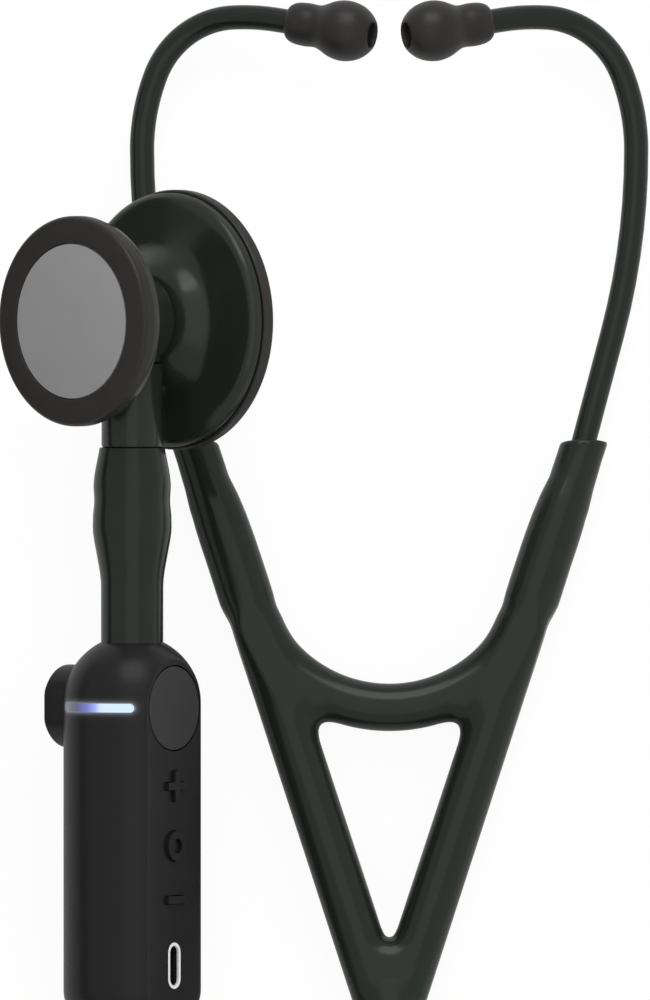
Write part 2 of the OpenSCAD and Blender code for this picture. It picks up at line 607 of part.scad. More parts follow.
// where a corner round touches both the bridge and the arm
corner_reach = bridge_r + bridge_d / 2 + corner_r;
corner_off = arm_start - (leg_r + corner_r) / cos(arm_angle) + bridge_w * tan(arm_angle);
corner_drop = (corner_off * tan(arm_angle)
    + sqrt(corner_reach * corner_reach / pow(cos(arm_angle), 2) - corner_off * corner_off))
    * pow(cos(arm_angle), 2);
corner_w = bridge_w - corner_drop;
corner_u = corner_off - corner_drop * tan(arm_angle);
spring_r = bridge_r - 2.9;

module yoke_hole() {
    k = 0.45;
    c = cos(arm_angle);
    n = sin(arm_angle);
    for (s = [-1, 1]) translate([s * corner_u, corner_w]) circle(r = corner_r);
    translate([0, crotch_w]) circle(r = crotch_r);
    corner = [corner_u + (corner_r + k) * c, corner_w - (corner_r + k) * n];
    foot = [(crotch_r + k) * c, crotch_w - (crotch_r + k) * n];
    polygon([[corner_u, corner_w + corner_r], corner, foot, [-foot[0], foot[1]], [-corner[0], corner[1]],
        [-corner_u, corner_w + corner_r]]);
}
module bridge_arc(half) translate([0, bridge_w, 0]) rotate([0, 0, -90 - half])
    rotate_extrude(angle = 2 * half) children();
module yoke() color("#2c322d") headset() difference() {
    union() {
        intersection() {
            for (s = [-1, 1]) side(s) arm() rotate_extrude() polygon(arm_line());
            translate([-100, -20, -20]) cube([200, 20 + sleeve_top, 40]);
        }
        bridge_arc(77) translate([bridge_r, 0]) circle(d = bridge_d);
        // the trunk, with a round end under the hole's foot
        rotate([-90, 0, 0]) rotate_extrude() polygon(concat([[0, -trunk_len], [tube_r, -trunk_len]],
            arc(0, crotch_w - crotch_r - tube_r, tube_r, 0, 90, 10)));
        translate([0, 0, -2.6]) linear_extrude(5.2) difference() {
            polygon([[arm_u(corner_w + 5) - 4.4, corner_w + 5.6], [3, 8], [-3, 8],
                [-arm_u(corner_w + 5) + 4.4, corner_w + 5.6]]);
            yoke_hole();
        }
    }
    for (s = [-1, 1]) side(s) {
        ear_frame() translate([0, 0, -ear_depth - seat_gap])
            cylinder(d = ear_tube_d + 2 * seat_gap, h = ear_depth + 9);
        arm() translate([0, 0, -8])
            cylinder(d = ear_bore, h = (sleeve_top - ear_depth + 2) / cos(arm_angle) + 8);
        // breather from the spring's slot to the sound bore
        translate([0, bridge_w, 0]) rotate([0, 0, -20]) translate([spring_r, 0, 0]) rotate([0, 90, 0])
            cylinder(d = 1.4, h = 3);
    }
    bridge_arc(73) translate([spring_r - seat_gap, -spring_w / 2 - seat_gap])
        square([spring_t + 2 * seat_gap, spring_w + 2 * seat_gap]);
}
module leaf_spring() color("#b0b4b8") headset() bridge_arc(72.9)
    translate([spring_r, -spring_w / 2]) square([spring_t, spring_w]);

// Ear tubes: a chain of straight lengths and bends, each starting where the last one ends
module ear_frame() translate([ear_u0, sleeve_top, 0]) rotate([0, 0, -ear_lean]) rotate([-90, 0, 0])
    children();
module bend(d, r, a) translate([-r, 0, 0]) rotate([90, 0, 0])
    rotate_extrude(angle = a) translate([r, 0]) circle(d = d);
module past_bend(r, a) translate([-r + r * cos(a), 0, r * sin(a)]) rotate([0, -a, 0]) children();
// a hair-thin band laps each joint, so that the chain is one piece
module lap(d) translate([0, 0, -0.15]) cylinder(d = d + 0.02, h = 0.3);
module ear_run(d, more) ear_frame() {
    translate([0, 0, -ear_depth - more]) cylinder(d = d, h = ear_depth + ear_straight + more);
    translate([0, 0, ear_straight]) {
        lap(d);
        bend(d, ear_r1, ear_lean);
        past_bend(ear_r1, ear_lean) rotate([0, 0, ear_forward]) {
            lap(d);
            bend(d, ear_r2, ear_a2);
            past_bend(ear_r2, ear_a2) {
                lap(d);
                bend(d, ear_r3, ear_a3);
                past_bend(ear_r3, ear_a3) {
                    lap(d);
                    bend(d, ear_r4, ear_a4);
                    past_bend(ear_r4, ear_a4) {
                        lap(d);
                        cylinder(d = d, h = tip_lead + 8 + more);
                    }
                }
            }
        }
    }
}
module ear_end() ear_frame() translate([0, 0, ear_straight]) past_bend(ear_r1, ear_lean)
    rotate([0, 0, ear_forward]) past_bend(ear_r2, ear_a2) past_bend(ear_r3, ear_a3)
        past_bend(ear_r4, ear_a4) children();
module ear_tube() difference() {
    ear_run(ear_tube_d, 0);
    ear_run(ear_bore, 1);
}
module left_ear_tube() color("#343a35") headset() side(-1) ear_tube();
module right_ear_tube() color("#343a35") headset() ear_tube();

// Ear tip: a soft double bulb with a flared mouth
module eartip() ear_end() translate([0, 0, tip_lead]) rotate_extrude() polygon(concat(
    let (k = eartip_len / 19.3, r = eartip_d / 2) [
        [3.1, 0], [3.8, 0.7 * k], [4.2, 2.2 * k], [4.36, 4.2 * k], [4.24, 6 * k], [4.3, 7.2 * k],
        [4.8, 8.4 * k], [r - 0.6, 9.8 * k], [r - 0.18, 11.2 * k], [r, tip_bulb],
        [r - 0.15, 14.4 * k], [r - 0.6, 16 * k], [r - 1.35, 17.4 * k], [r - 2.3, 18.5 * k],
        [r - 3, 19.1 * k], [r - 3.3, 19.3 * k], [r - 3.6, 18.9 * k], [r - 4, 17 * k],
        [ear_bore / 2, 13.5 * k], [ear_bore / 2, 8 + seat_gap]],
    [[ear_tube_d / 2 + seat_gap, 8 + seat_gap], [ear_tube_d / 2 + seat_gap, 0]]));
module left_eartip() color("#322e2c") headset() side(-1) eartip();
module right_eartip() color("#322e2c") headset() eartip();

// Main tube: swept along the route, smoothed between its points
tube_sides = 12;
last = len(route) - 1;
function unit(v) = v / norm(v);
// Catmull-Rom curve through the route's points, with the end points mirrored past the ends
function at(i) = i < 0 ? 2 * route[0] - route[1] : i > last ? 2 * route[last] - route[last - 1] : route[i];
function curve(i, t) = 0.5 * (2 * at(i) + t * (at(i + 1) - at(i - 1))
    + t * t * (2 * at(i - 1) - 5 * at(i) + 4 * at(i + 1) - at(i + 2))
    + t * t * t * (3 * at(i) - at(i - 1) - 3 * at(i + 1) + at(i + 2)));
path = concat([for (i = [0 : last - 1], t = [0, 0.5]) curve(i, t)], [route[last]]);
rings = len(path) - 1;
// the ends are cut square to what they meet
function heading(i) = i == 0 ? [0, -cos(headset_pitch), sin(headset_pitch)]
    : i == rings ? [0, cos(column_tilt), sin(column_tilt)] : unit(path[i + 1] - path[i - 1]);
function ring_point(i, j) = let (t = heading(i), b = unit(cross(t, [0, 0, 1])), n = cross(b, t),
    a = 360 * j / tube_sides) path[i] + tube_r * (b * cos(a) + n * sin(a));
module main_tube() color("#2c322d") polyhedron(
    points = [for (i = [0 : rings], j = [0 : tube_sides - 1]) ring_point(i, j)],
    faces = concat([[for (j = [0 : tube_sides - 1]) j]],
        [for (i = [0 : rings - 1], j = [0 : tube_sides - 1]) let (k = (j + 1) % tube_sides)
            each [[i * tube_sides + j, (i + 1) * tube_sides + j, (i + 1) * tube_sides + k],
                  [i * tube_sides + j, (i + 1) * tube_sides + k, i * tube_sides + k]]],
        [[for (j = [tube_sides - 1 : -1 : 0]) rings * tube_sides + j]]));

chestpiece_body();
adult_rim();
adult_diaphragm();
pediatric_rim();
pediatric_diaphragm();
stem();
stem_retaining_ring();
stem_seal();
short_tube();
housing();
back_cover();
back_cover_screws();
valve_block();
valve_barrel();
mode_knob();
valve_end_disc();
upper_connector();
lower_connector();
sound_tube();
light_bar();
status_leds();
circuit_board();
button_switches();
volume_up_button();
center_button();
volume_down_button();
charging_port();
port_trim_ring();
battery();
microphone();
speaker();
yoke();
leaf_spring();
left_ear_tube();
right_ear_tube();
left_eartip();
right_eartip();
main_tube();
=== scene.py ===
"""Looks of an electronic stethoscope that lies on a table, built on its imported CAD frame.

Sizes are in millimetres and angles in degrees until a mesh is made. A mesh is in metres, in the frame's own
axes: +X right, +Y from the yoke to the ear tips, +Z up from the table.
"""
import math

import bmesh
import bpy
import numpy as np
from mathutils import Matrix


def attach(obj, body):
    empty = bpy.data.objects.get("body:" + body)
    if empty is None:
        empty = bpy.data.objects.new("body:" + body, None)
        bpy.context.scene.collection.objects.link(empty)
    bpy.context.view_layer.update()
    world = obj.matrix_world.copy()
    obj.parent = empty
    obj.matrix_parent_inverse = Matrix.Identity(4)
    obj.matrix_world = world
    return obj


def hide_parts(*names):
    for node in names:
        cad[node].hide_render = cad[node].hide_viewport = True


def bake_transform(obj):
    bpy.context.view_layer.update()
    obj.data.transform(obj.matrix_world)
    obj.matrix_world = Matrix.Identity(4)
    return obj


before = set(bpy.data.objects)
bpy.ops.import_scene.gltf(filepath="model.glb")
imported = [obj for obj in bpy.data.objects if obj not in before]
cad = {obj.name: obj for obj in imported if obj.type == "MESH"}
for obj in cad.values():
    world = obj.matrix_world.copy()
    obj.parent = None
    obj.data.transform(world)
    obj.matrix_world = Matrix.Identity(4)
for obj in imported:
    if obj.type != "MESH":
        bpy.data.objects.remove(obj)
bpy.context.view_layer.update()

# Layout on the table
AXIS_GAP = 51.2  # from the module's axis to the headset's
AXIS_STEP = 0.8  # the module's foot lies this much farther along -Y than the yoke's origin
COLUMN_TILT = 10.2  # rise of the module's axis from the table
MODULE_ROLL = 36.0  # turn of the module about its axis
CHEST_TURN = 45.0  # turn of the chestpiece on its stem
HEADSET_PITCH = 0.6  # fall of the headset towards the ear tips
TABLE_GAP = 0.05

# Chestpiece
ADULT_R = 25.9
ADULT_FACE = 14.4  # from the chestpiece's middle out to the face
ADULT_WAIST = 3.0  # where the bell runs into the waist
PEDIATRIC_R = 20.9
PEDIATRIC_FACE = 17.1
PEDIATRIC_WAIST = 3.5
RIM_H = 3.0
RIM_FACE_W = 5.4
RIM_LIP = 1.0
RIM_WALL = 1.3
RIM_ROUND = 1.0
RIM_INNER_ROUND = 0.3
MEMBRANE_T = 0.7
MEMBRANE_DROP = 0.05  # below the rim's face
MEMBRANE_HOLD = 1.2  # from the rim's wall to the membrane's hidden edge
WAIST_R = 8.8
BAND_H = 2.5
BAND_STEP = 0.6  # the metal band lies this much inside the rim
SEAT_DROP = 1.25  # from the rim's lip down to the bowl's seat
BELL_EDGE = 1.6  # from the band in to the start of the bell
BELL_DROP = 0.3  # from the band's foot down to the start of the bell
BOSS_REACH = 8.4
BOSS_FOOT = 3.0

# Stem and tubes
STEM_R = 6.1
STEM_LEN = 16.8
PIVOT_R = 4.0
PIVOT_REACH = 5.4  # past the chestpiece's middle
BARB_R = 4.9
BARB_LEN = 22.0
NIPPLE_R = 3.3
TUBE_R = 6.2
SHORT_TUBE_LEN = 38.8
SWELL_LEN = 28.0  # length of the short tube's swell over the barbs
SWELL_H = 1.5
RIPPLE_H = 0.15

# Module
MODULE_R = 13.75
FLAT_X = 10.4  # from the axis to each flat
DOME_S = 63.0  # height of the dome's centre above the foot
EDGE_R = 6.0
WALL = 1.8
FLAT_ROUND = 0.25  # round where a flat meets the round wall
SEAM_Y = 9.0  # from the axis to the seam with the back cover
KNOB_S = 62.3
KNOB_R = 8.3
KNOB_FLAT = 7.8  # from the axis to each of the knob's flats
KNOB_H = 5.9
KNOB_ROUND = 0.6
KNOB_FOOT = 0.3
BARREL_R = 4.0
VALVE_HALF = 7.0  # half the valve block's height
FLANGE_T = 1.0
DISC_R = 8.4
DISC_T = 1.45
DISC_GAP = 0.3
LIGHT_S = 62.5
LIGHT_H = 1.7
LIGHT_HALF = 38.0  # angle that the bar takes on each side of its middle
LIGHT_PROUD = 0.02
LIGHT_DEPTH = 0.3  # past the wall's inside
PLUS_S = 46.8
RING_S = 34.9
MINUS_S = 24.2
KEY_W = 6.0
KEY_STROKE = 1.5
PORT_S = 11.1
PORT_L = 9.2
PORT_W = 4.1
TRIM_W = 0.6
TRIM_T = 0.5
SCREW_X = 6.3
SCREW_S = 4.0, KNOB_S - 6.9  # heights of the lower and the upper screws
SCREW_R = 1.6
SCREW_FLOOR = 1.0  # left between the seam and a screw's seat
CUT_PAST = 2.0  # how far a cut runs past the wall

# Headset
ARM_ANGLE = 18.0
ARM_START = 0.7  # from the middle plane to an arm's axis at the yoke's origin
LEG_R = 4.9
SLEEVE_R = 5.33
SLEEVE_TOP = 116.8
SLEEVE_MID = SLEEVE_TOP - 20.0  # where the sleeve rests on the table
BRIDGE_W = 92.6  # height of the bridge's centre
BRIDGE_R = 29.4
BRIDGE_D = 9.5
BRIDGE_END = 28.0  # angle below level where the bridge's round bar ends
TRUNK_LEN = 4.0
TRUNK_TOP = 16.1
CROTCH_R = 1.25  # round at the foot of the triangle
SLEEVE_LEAN = 0.6  # how far the sleeve's end leans out, and over which length
SLEEVE_LEAN_LEN = 24.0
ARM_ROUND = 3.6  # between the two arms
U_ROUND = 2.2  # between the arms and the bridge, on the U's side
CORNER_ROUND = 3.2  # more of it in the triangle's corners
WEB_ROUND = 5.5
WEB_THIN = 0.6
TRUNK_ROUND = 1.2
TRUNK_FLATTER = 1.35
SLEEVE_ROUND = 0.5
SKIN_ROUND = 0.3
SPRING_R = 26.5
SPRING_T = 0.6
SPRING_W = 5.2
SPRING_END = 17.1
EAR_R = 2.45
EAR_DEPTH = 20.0  # of the ear tube in its sleeve
EAR_OUT = 0.2  # from the arm's axis out to the ear tube's, at the sleeve's end
EAR_LEAN = 14.7
EAR_STRAIGHT = 22.8
EAR_BENDS = ((148.0, 14.7), (40.0, 22.0), (17.2, 68.0), (45.0, 12.0))  # radius and angle of each bend
EAR_FORWARD = 18.0  # turn of the upper bends out of the headset's plane
EAR_SEAT = 8.0  # of the ear tube in its tip
TIP_LEAD = 2.7
TIP_R = 6.1
TIP_LEN = 18.2
TIP_BORE = 1.5

# Gaps between pieces that turn or slide, that are joined, and that show as a line
RUN_GAP = 0.05
SEAT_GAP = 0.03
SHOW_GAP = 0.15

# Profile of an ear tip as drawn, radius and height, before it is stretched to its length
TIP_DRAWN = 19.3
TIP_BULGE = 12.8
TIP_OUTSIDE = [
    [2.6, 0], [3.3, 0.25], [3.85, 1.0], [4.2, 2.2], [4.36, 4.2], [4.26, 6.0], [4.36, 7.2], [4.85, 8.4],
    [5.5, 9.8], [5.92, 11.2], [6.1, 12.8], [5.95, 14.4], [5.5, 16.0], [4.75, 17.4], [3.9, 18.4],
    [3.25, 18.95], [2.85, 19.15],
]
TIP_INSIDE = [[2.6, 18.95], [2.45, 18.2], [2.3, 16.6], [2.15, 14.6], [1.5, 13.5]]

# An arm's gain in radius by the height above its sleeve's end, and the gain of its outer side alone
ARM_GAIN = [
    [-200, 0], [-36, 0], [-34, 0.22], [-32.3, 0.38], [-30, SLEEVE_R - LEG_R], [-20, SLEEVE_R - LEG_R],
    [-15.9, 0.4], [-11.9, 0.2], [-7.8, -0.3], [-2.6, -0.62], [3, -0.65],
]
OUTER_GAIN = [
    [-107, 0.28], [-85, 0.18], [-60, 0.1], [-51, 0.04], [-46, -0.09], [-37, -0.2], [-34.8, -0.29],
    [-31.2, 0.3], [-19, 0.2], [-14, 0],
]

# The bell's way in to the waist and its way down, as shares, and the bevel below the band, as steps in and up
BELL_SHARES = [
    [0, 0], [0.28, 0.035], [0.46, 0.085], [0.56, 0.15], [0.66, 0.3], [0.81, 0.7], [0.89, 0.87],
    [0.95, 0.965], [1, 1],
]
BAND_BEVEL = [[0, 0.75], [0.12, 0.55], [0.6, 0.08], [0.85, -0.08]]


def cosd(a):
    return math.cos(math.radians(a))


def sind(a):
    return math.sin(math.radians(a))


def shift(x, y, z):
    """4x4 matrix that moves by (x, y, z)."""
    m = np.eye(4)
    m[:3, 3] = x, y, z
    return m


def turn(axis, degrees):
    """4x4 matrix that turns about one of the axes x, y, z."""
    c, s = cosd(degrees), sind(degrees)
    i, j = {"x": (1, 2), "y": (2, 0), "z": (0, 1)}[axis]
    m = np.eye(4)
    m[i, i], m[i, j], m[j, i], m[j, j] = c, -s, s, c
    return m


def place(points, where):
    """Points (..., 3) carried into the shared frame by a 4x4 matrix."""
    return points @ where[:3, :3].T + where[:3, 3]


def ear_rise():
    """Rise of an ear tube along the headset, from its sleeve to its end: a straight length, then bends of
    radius r that turn from heading a to b and so rise by r (sin b - sin a). Also the last heading."""
    heading, rise = -EAR_LEAN, EAR_STRAIGHT * cosd(EAR_LEAN)
    for r, angle in EAR_BENDS:
        rise += r * (sind(heading + angle) - sind(heading))
        heading += angle
    return rise, heading


# Heights on the module's axis
DOME_TOP = DOME_S + math.sqrt(MODULE_R**2 - TUBE_R**2)
TUBE_FOOT = KNOB_S + VALVE_HALF + FLANGE_T + SEAT_GAP
TUBE_TOP = DOME_TOP + SHORT_TUBE_LEN
SHOULDER_S = TUBE_TOP + STEM_LEN
CHEST_S = SHOULDER_S + BOSS_REACH

# Reach of the headset and of the chestpiece, which set where they lie
EAR_START = ARM_START + SLEEVE_TOP * math.tan(math.radians(ARM_ANGLE)) + EAR_OUT
EAR_REACH = EAR_START + EAR_STRAIGHT * sind(EAR_LEAN) + EAR_BENDS[0][0] * (1 - cosd(EAR_LEAN)) + EAR_R
EAR_RISE, EAR_HEADING = ear_rise()
TIP_FALL = EAR_HEADING - 90
TIP_TOP = (SLEEVE_TOP + EAR_RISE - (TIP_LEAD + TIP_BULGE * TIP_LEN / TIP_DRAWN) * sind(TIP_FALL)
           + TIP_R * cosd(TIP_FALL))
CHEST_REACH = ((PEDIATRIC_FACE - RIM_ROUND) * sind(CHEST_TURN) + (PEDIATRIC_R - RIM_ROUND) * cosd(CHEST_TURN)
               + RIM_ROUND)
HEADSET_X = (AXIS_GAP + CHEST_REACH - EAR_REACH) / 2
HEADSET_Y = (TRUNK_LEN - TIP_TOP) / 2
HEADSET_Z = SLEEVE_R + SLEEVE_MID * sind(HEADSET_PITCH) + TABLE_GAP
COLUMN_X = HEADSET_X - AXIS_GAP
COLUMN_Y = HEADSET_Y - AXIS_STEP
COLUMN_Z = EDGE_R + (MODULE_R - EDGE_R) * cosd(COLUMN_TILT) - EDGE_R * sind(COLUMN_TILT)

COLUMN = shift(COLUMN_X, COLUMN_Y, COLUMN_Z) @ turn("x", COLUMN_TILT - 90)  # z runs up the module's axis
CASING = COLUMN @ turn("z", -MODULE_ROLL)  # x out of the flat with the keys, -y out of the lit front
CHEST = COLUMN @ shift(0, 0, CHEST_S) @ turn("z", -CHEST_TURN) @ turn("x", 90)  # z out of the smaller face
HEADSET = shift(HEADSET_X, HEADSET_Y, HEADSET_Z) @ turn("x", -HEADSET_PITCH)
ACROSS = turn("y", 90)  # z along the casing's x
SIDES = (-1, "left"), (1, "right")


# Surfaces
def ring_of_quads(rows, columns, wrap_rows=False):
    """Corner numbers of the quads between neighbours on a rows x columns grid whose columns close in a ring,
    and its rows too where asked."""
    i = np.arange(rows if wrap_rows else rows - 1)[:, None]
    j = np.arange(columns)[None, :]
    a, b = i * columns + j, i * columns + (j + 1) % columns
    d, c = (i + 1) % rows * columns + j, (i + 1) % rows * columns + (j + 1) % columns
    return np.stack([a, b, c, d], -1).reshape(-1, 4)


def with_ends(grid):
    """Tube-like grid of points as corners and faces, with a fan of triangles at each end."""
    rows, columns = grid.shape[:2]
    corners = grid.reshape(-1, 3)
    ends = np.stack([corners[:columns].mean(0), corners[-columns:].mean(0)])
    j = np.arange(columns)
    k, n = (j + 1) % columns, rows * columns
    first = np.stack([j * 0 + n, k, j, j], -1)
    last = np.stack([j * 0 + n + 1, n - columns + j, n - columns + k, n - columns + k], -1)
    return np.concatenate([corners, ends]), np.concatenate([ring_of_quads(rows, columns), first, last])


def lathe(profile, where, steps=96, closed=False):
    """Surface of revolution: a point (r, z) of the profile goes to (r cos a, r sin a, z) for a round the
    circle. A closed profile wraps onto its start, as for a ring. An open one starts and ends on the axis."""
    profile = np.asarray(profile, float)
    a = np.linspace(0, 2 * np.pi, steps, endpoint=False)
    r, z = profile[:, :1], profile[:, 1:]
    grid = np.stack([r * np.cos(a), r * np.sin(a), z + 0 * a], -1)
    if closed:
        corners, faces = grid.reshape(-1, 3), ring_of_quads(len(profile), steps, wrap_rows=True)
    else:
        corners, faces = with_ends(grid)
    return place(corners, where), faces


def carried_circle(frames, radius, steps):
    """Tube: at each frame the circle x = r cos a, y = r sin a is carried to the frame's own place."""
    a = np.linspace(0, 2 * np.pi, steps, endpoint=False)
    circle = radius * np.stack([np.cos(a), np.sin(a), 0 * a], -1)
    grid = np.einsum("kij,aj->kai", frames[:, :3, :3], circle)
    return with_ends(grid + frames[:, None, :3, 3])


def level_surface(field, low, high, step):
    """Net of quads over the zero level of a field: each grid cell that the level cuts gets one corner, at the
    mean of the level's crossings of the cell's edges, which is then drawn onto the level along the slope."""
    axes = [np.arange(a, b + step, step) for a, b in zip(low, high)]
    at = np.stack(np.meshgrid(*axes, indexing="ij"), -1)
    f = field(at)
    cells = np.array(f.shape) - 1
    total, count = np.zeros((*cells, 3)), np.zeros(cells)
    edges = []
    for x in range(3):
        n = f.shape[x] - 1
        a, b = np.take(f, range(n), x), np.take(f, range(1, n + 1), x)
        cut = (a < 0) != (b < 0)
        t = np.where(cut, a / np.where(cut, a - b, 1), 0)
        point = np.take(at, range(n), x).copy()
        point[..., x] += t * step
        point *= cut[..., None]
        y, z = (x + 1) % 3, (x + 2) % 3
        for dy in (0, 1):
            for dz in (0, 1):
                part = [slice(None)] * 3
                part[y], part[z] = slice(dy, dy + cells[y]), slice(dz, dz + cells[z])
                total += point[tuple(part)]
                count += cut[tuple(part)]
        edges.append((cut, a < 0))
    used = count > 0
    number = np.full(cells, -1)
    number[used] = np.arange(used.sum())
    corners = total[used] / count[used][:, None]
    faces = []
    for x, (cut, below) in enumerate(edges):
        y, z = (x + 1) % 3, (x + 2) % 3
        inner = [slice(None)] * 3
        inner[y] = inner[z] = slice(1, -1)
        cut, below = cut[tuple(inner)], below[tuple(inner)]
        around = []
        for dy, dz in ((0, 0), (1, 0), (1, 1), (0, 1)):
            part = [slice(None)] * 3
            part[y] = slice(dy, dy + cells[y] - 1)
            part[z] = slice(dz, dz + cells[z] - 1)
            around.append(number[tuple(part)][cut])
        quad = np.stack(around, -1)
        faces.append(np.where(below[cut][:, None], quad, quad[:, ::-1]))
    probe, most = 0.02, 0.3
    for _ in range(4):
        slope = np.stack([field(corners + d) - field(corners - d) for d in probe * np.eye(3)], -1)
        slope /= 2 * probe
        corners -= np.clip(field(corners) / (slope**2).sum(-1), -most, most)[:, None] * slope
    return corners, np.concatenate(faces)


def smooth_min(a, b, k):
    """The smaller of two fields, with a round of about k where they meet."""
    h = np.clip(0.5 + 0.5 * (b - a) / k, 0, 1)
    return b + (a - b) * h - k * h * (1 - h)


def smooth_max(a, b, k):
    """The larger of two fields, with a round of about k where they meet."""
    return -smooth_min(-a, -b, k)


def arc(x, y, r, start, end, steps):
    """Points (x + r cos a, y + r sin a) for a from start to end, in degrees."""
    a = np.radians(np.linspace(start, end, steps + 1))
    return np.stack([x + r * np.cos(a), y + r * np.sin(a)], -1)


def ease(t):
    """Smooth step 3t^2 - 2t^3, held at 0 and 1 outside."""
    t = np.clip(t, 0, 1)
    return t * t * (3 - 2 * t)


def through(points, steps):
    """Smooth curve through the points: between two of them, a cubic with slopes from their neighbours."""
    p = np.asarray(points, float)
    p = np.concatenate([[2 * p[0] - p[1]], p, [2 * p[-1] - p[-2]]])
    t = np.linspace(0, 1, steps, endpoint=False)[None, :, None]
    a, b, c, d = p[:-3, None], p[1:-2, None], p[2:-1, None], p[3:, None]
    curve = 0.5 * (2 * b + t * (c - a) + t**2 * (2 * a - 5 * b + 4 * c - d) + t**3 * (3 * b - a - 3 * c + d))
    return np.concatenate([curve.reshape(-1, p.shape[1]), p[-2:-1]])


def joined(*parts):
    """Several (corners, faces) surfaces as one."""
    corners, faces, n = [], [], 0
    for c, f in parts:
        corners.append(c)
        faces.append(f + n)
        n += len(c)
    return np.concatenate(corners), np.concatenate(faces)


def prism(outline, low, high, where):
    """Closed prism: the flat outline (x, y) carried from z = low to z = high, with its ends fanned."""
    outline = np.asarray(outline, float)
    corners, faces = with_ends(np.stack([np.c_[outline, 0 * outline[:, :1] + z] for z in (low, high)]))
    return place(corners, where), faces


def circle_outline(r, steps=64):
    """Outline of a disc."""
    return arc(0, 0, r, 0, 360, steps)[:-1]


def obround(length, width, steps=16):
    """Outline of a slot with round ends, its length along y."""
    r, h = width / 2, (length - width) / 2
    return np.concatenate([arc(0, h, r, 0, 180, steps), arc(0, -h, r, 180, 360, steps)])


def box_outline(a, b):
    """Outline of a rectangle with half sides a and b."""
    return np.array([[a, -b], [a, b], [-a, b], [-a, -b]])


def cross_outline(a, b):
    """Outline of a cross with half length a and half stroke b."""
    corner = np.array([[a, -b], [a, b], [b, b]])
    quarter = np.array([[0, 1], [-1, 0]])
    return np.concatenate([corner @ np.linalg.matrix_power(quarter, n) for n in range(4)])


# Meshes and pieces
def mesh_of(name, surface):
    """Mesh in metres from corners in millimetres. A quad whose last two corners agree is a triangle."""
    corners, faces = surface
    mesh = bpy.data.meshes.new(name)
    listed = [f[:3] if f[2] == f[3] else f for f in faces.tolist()]
    mesh.from_pydata((corners / 1000).tolist(), [], listed)
    work = bmesh.new()
    work.from_mesh(mesh)
    bmesh.ops.remove_doubles(work, verts=work.verts, dist=1e-7)
    bmesh.ops.dissolve_degenerate(work, edges=work.edges, dist=1e-8)
    bmesh.ops.recalc_face_normals(work, faces=work.faces)
    work.to_mesh(mesh)
    work.free()
    return mesh


def shade(mesh, angle):
    """Smooth shading, with edges sharper than the angle left crisp."""
    mesh.polygons.foreach_set("use_smooth", np.ones(len(mesh.polygons), bool))
    mesh.set_sharp_from_angle(angle=math.radians(angle))


def piece(name, surface, material, body, *stands_for, slot=None, crisp=35):
    """A finished piece on a body. It stands for the CAD nodes that are named."""
    mesh = surface if isinstance(surface, bpy.types.Mesh) else mesh_of(name, surface)
    shade(mesh, crisp)
    thing = bpy.data.objects.new(name, mesh)
    bpy.context.scene.collection.objects.link(thing)
    mesh.materials.append(material)
    if body:
        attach(thing, body)
    if stands_for:
        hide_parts(*stands_for)
    return thing


def carved(surface, cuts, keep):
    """Mesh of a closed surface less the closed surfaces in cuts, of which only what lies in keep is left."""
    block = bpy.data.objects.new("block", mesh_of("block", surface))
    tools = []
    for kind, tool in [("DIFFERENCE", c) for c in cuts] + [("INTERSECT", keep)]:
        cutter = bpy.data.objects.new("cutter", mesh_of("cutter", tool))
        step = block.modifiers.new("cut", "BOOLEAN")
        step.operation, step.object, step.solver = kind, cutter, "EXACT"
        tools.append(cutter)
    for thing in (block, *tools):
        bpy.context.scene.collection.objects.link(thing)
    bpy.context.view_layer.update()
    result = bpy.data.meshes.new_from_object(block.evaluated_get(bpy.context.evaluated_depsgraph_get()))
    for thing in (block, *tools):
        bpy.data.objects.remove(thing)
    return result


# Materials
GRAIN_DEPTH = 0.02


def adder(tree):
    """Short ways to add a node to a tree, with its settings or input values, and to join two sockets."""
    def add(kind, **values):
        made = tree.nodes.new("ShaderNode" + kind)
        for key, value in values.items():
            if hasattr(made, key):
                setattr(made, key, value)
            else:
                made.inputs[key.replace("_", " ")].default_value = value
        return made

    return add, tree.links.new


def node_tree(name):
    """A new material with its shader, and short ways to add nodes and to join them."""
    material = bpy.data.materials.new(name)
    material.use_nodes = True
    return material, material.node_tree.nodes["Principled BSDF"], *adder(material.node_tree)


def set_sockets(shader, **values):
    """Constants on the shader's own sockets."""
    for key, value in values.items():
        shader.inputs[key.replace("_", " ")].default_value = value


def math_of(add, link, operation, *values):
    """Result of a Math node on values that are numbers or other nodes' sockets."""
    made = add("Math", operation=operation)
    for socket, value in zip(made.inputs, values):
        if isinstance(value, bpy.types.NodeSocket):
            link(value, socket)
        else:
            socket.default_value = value
    return made.outputs[0]


def ramp_of(add, stops):
    """Colour ramp through (position, colour) stops."""
    ramp = add("ValToRGB")
    for i, (position, colour) in enumerate(stops):
        stop = ramp.color_ramp.elements[i] if i < 2 else ramp.color_ramp.elements.new(position)
        stop.position, stop.color = position, (*colour, 1)
    return ramp


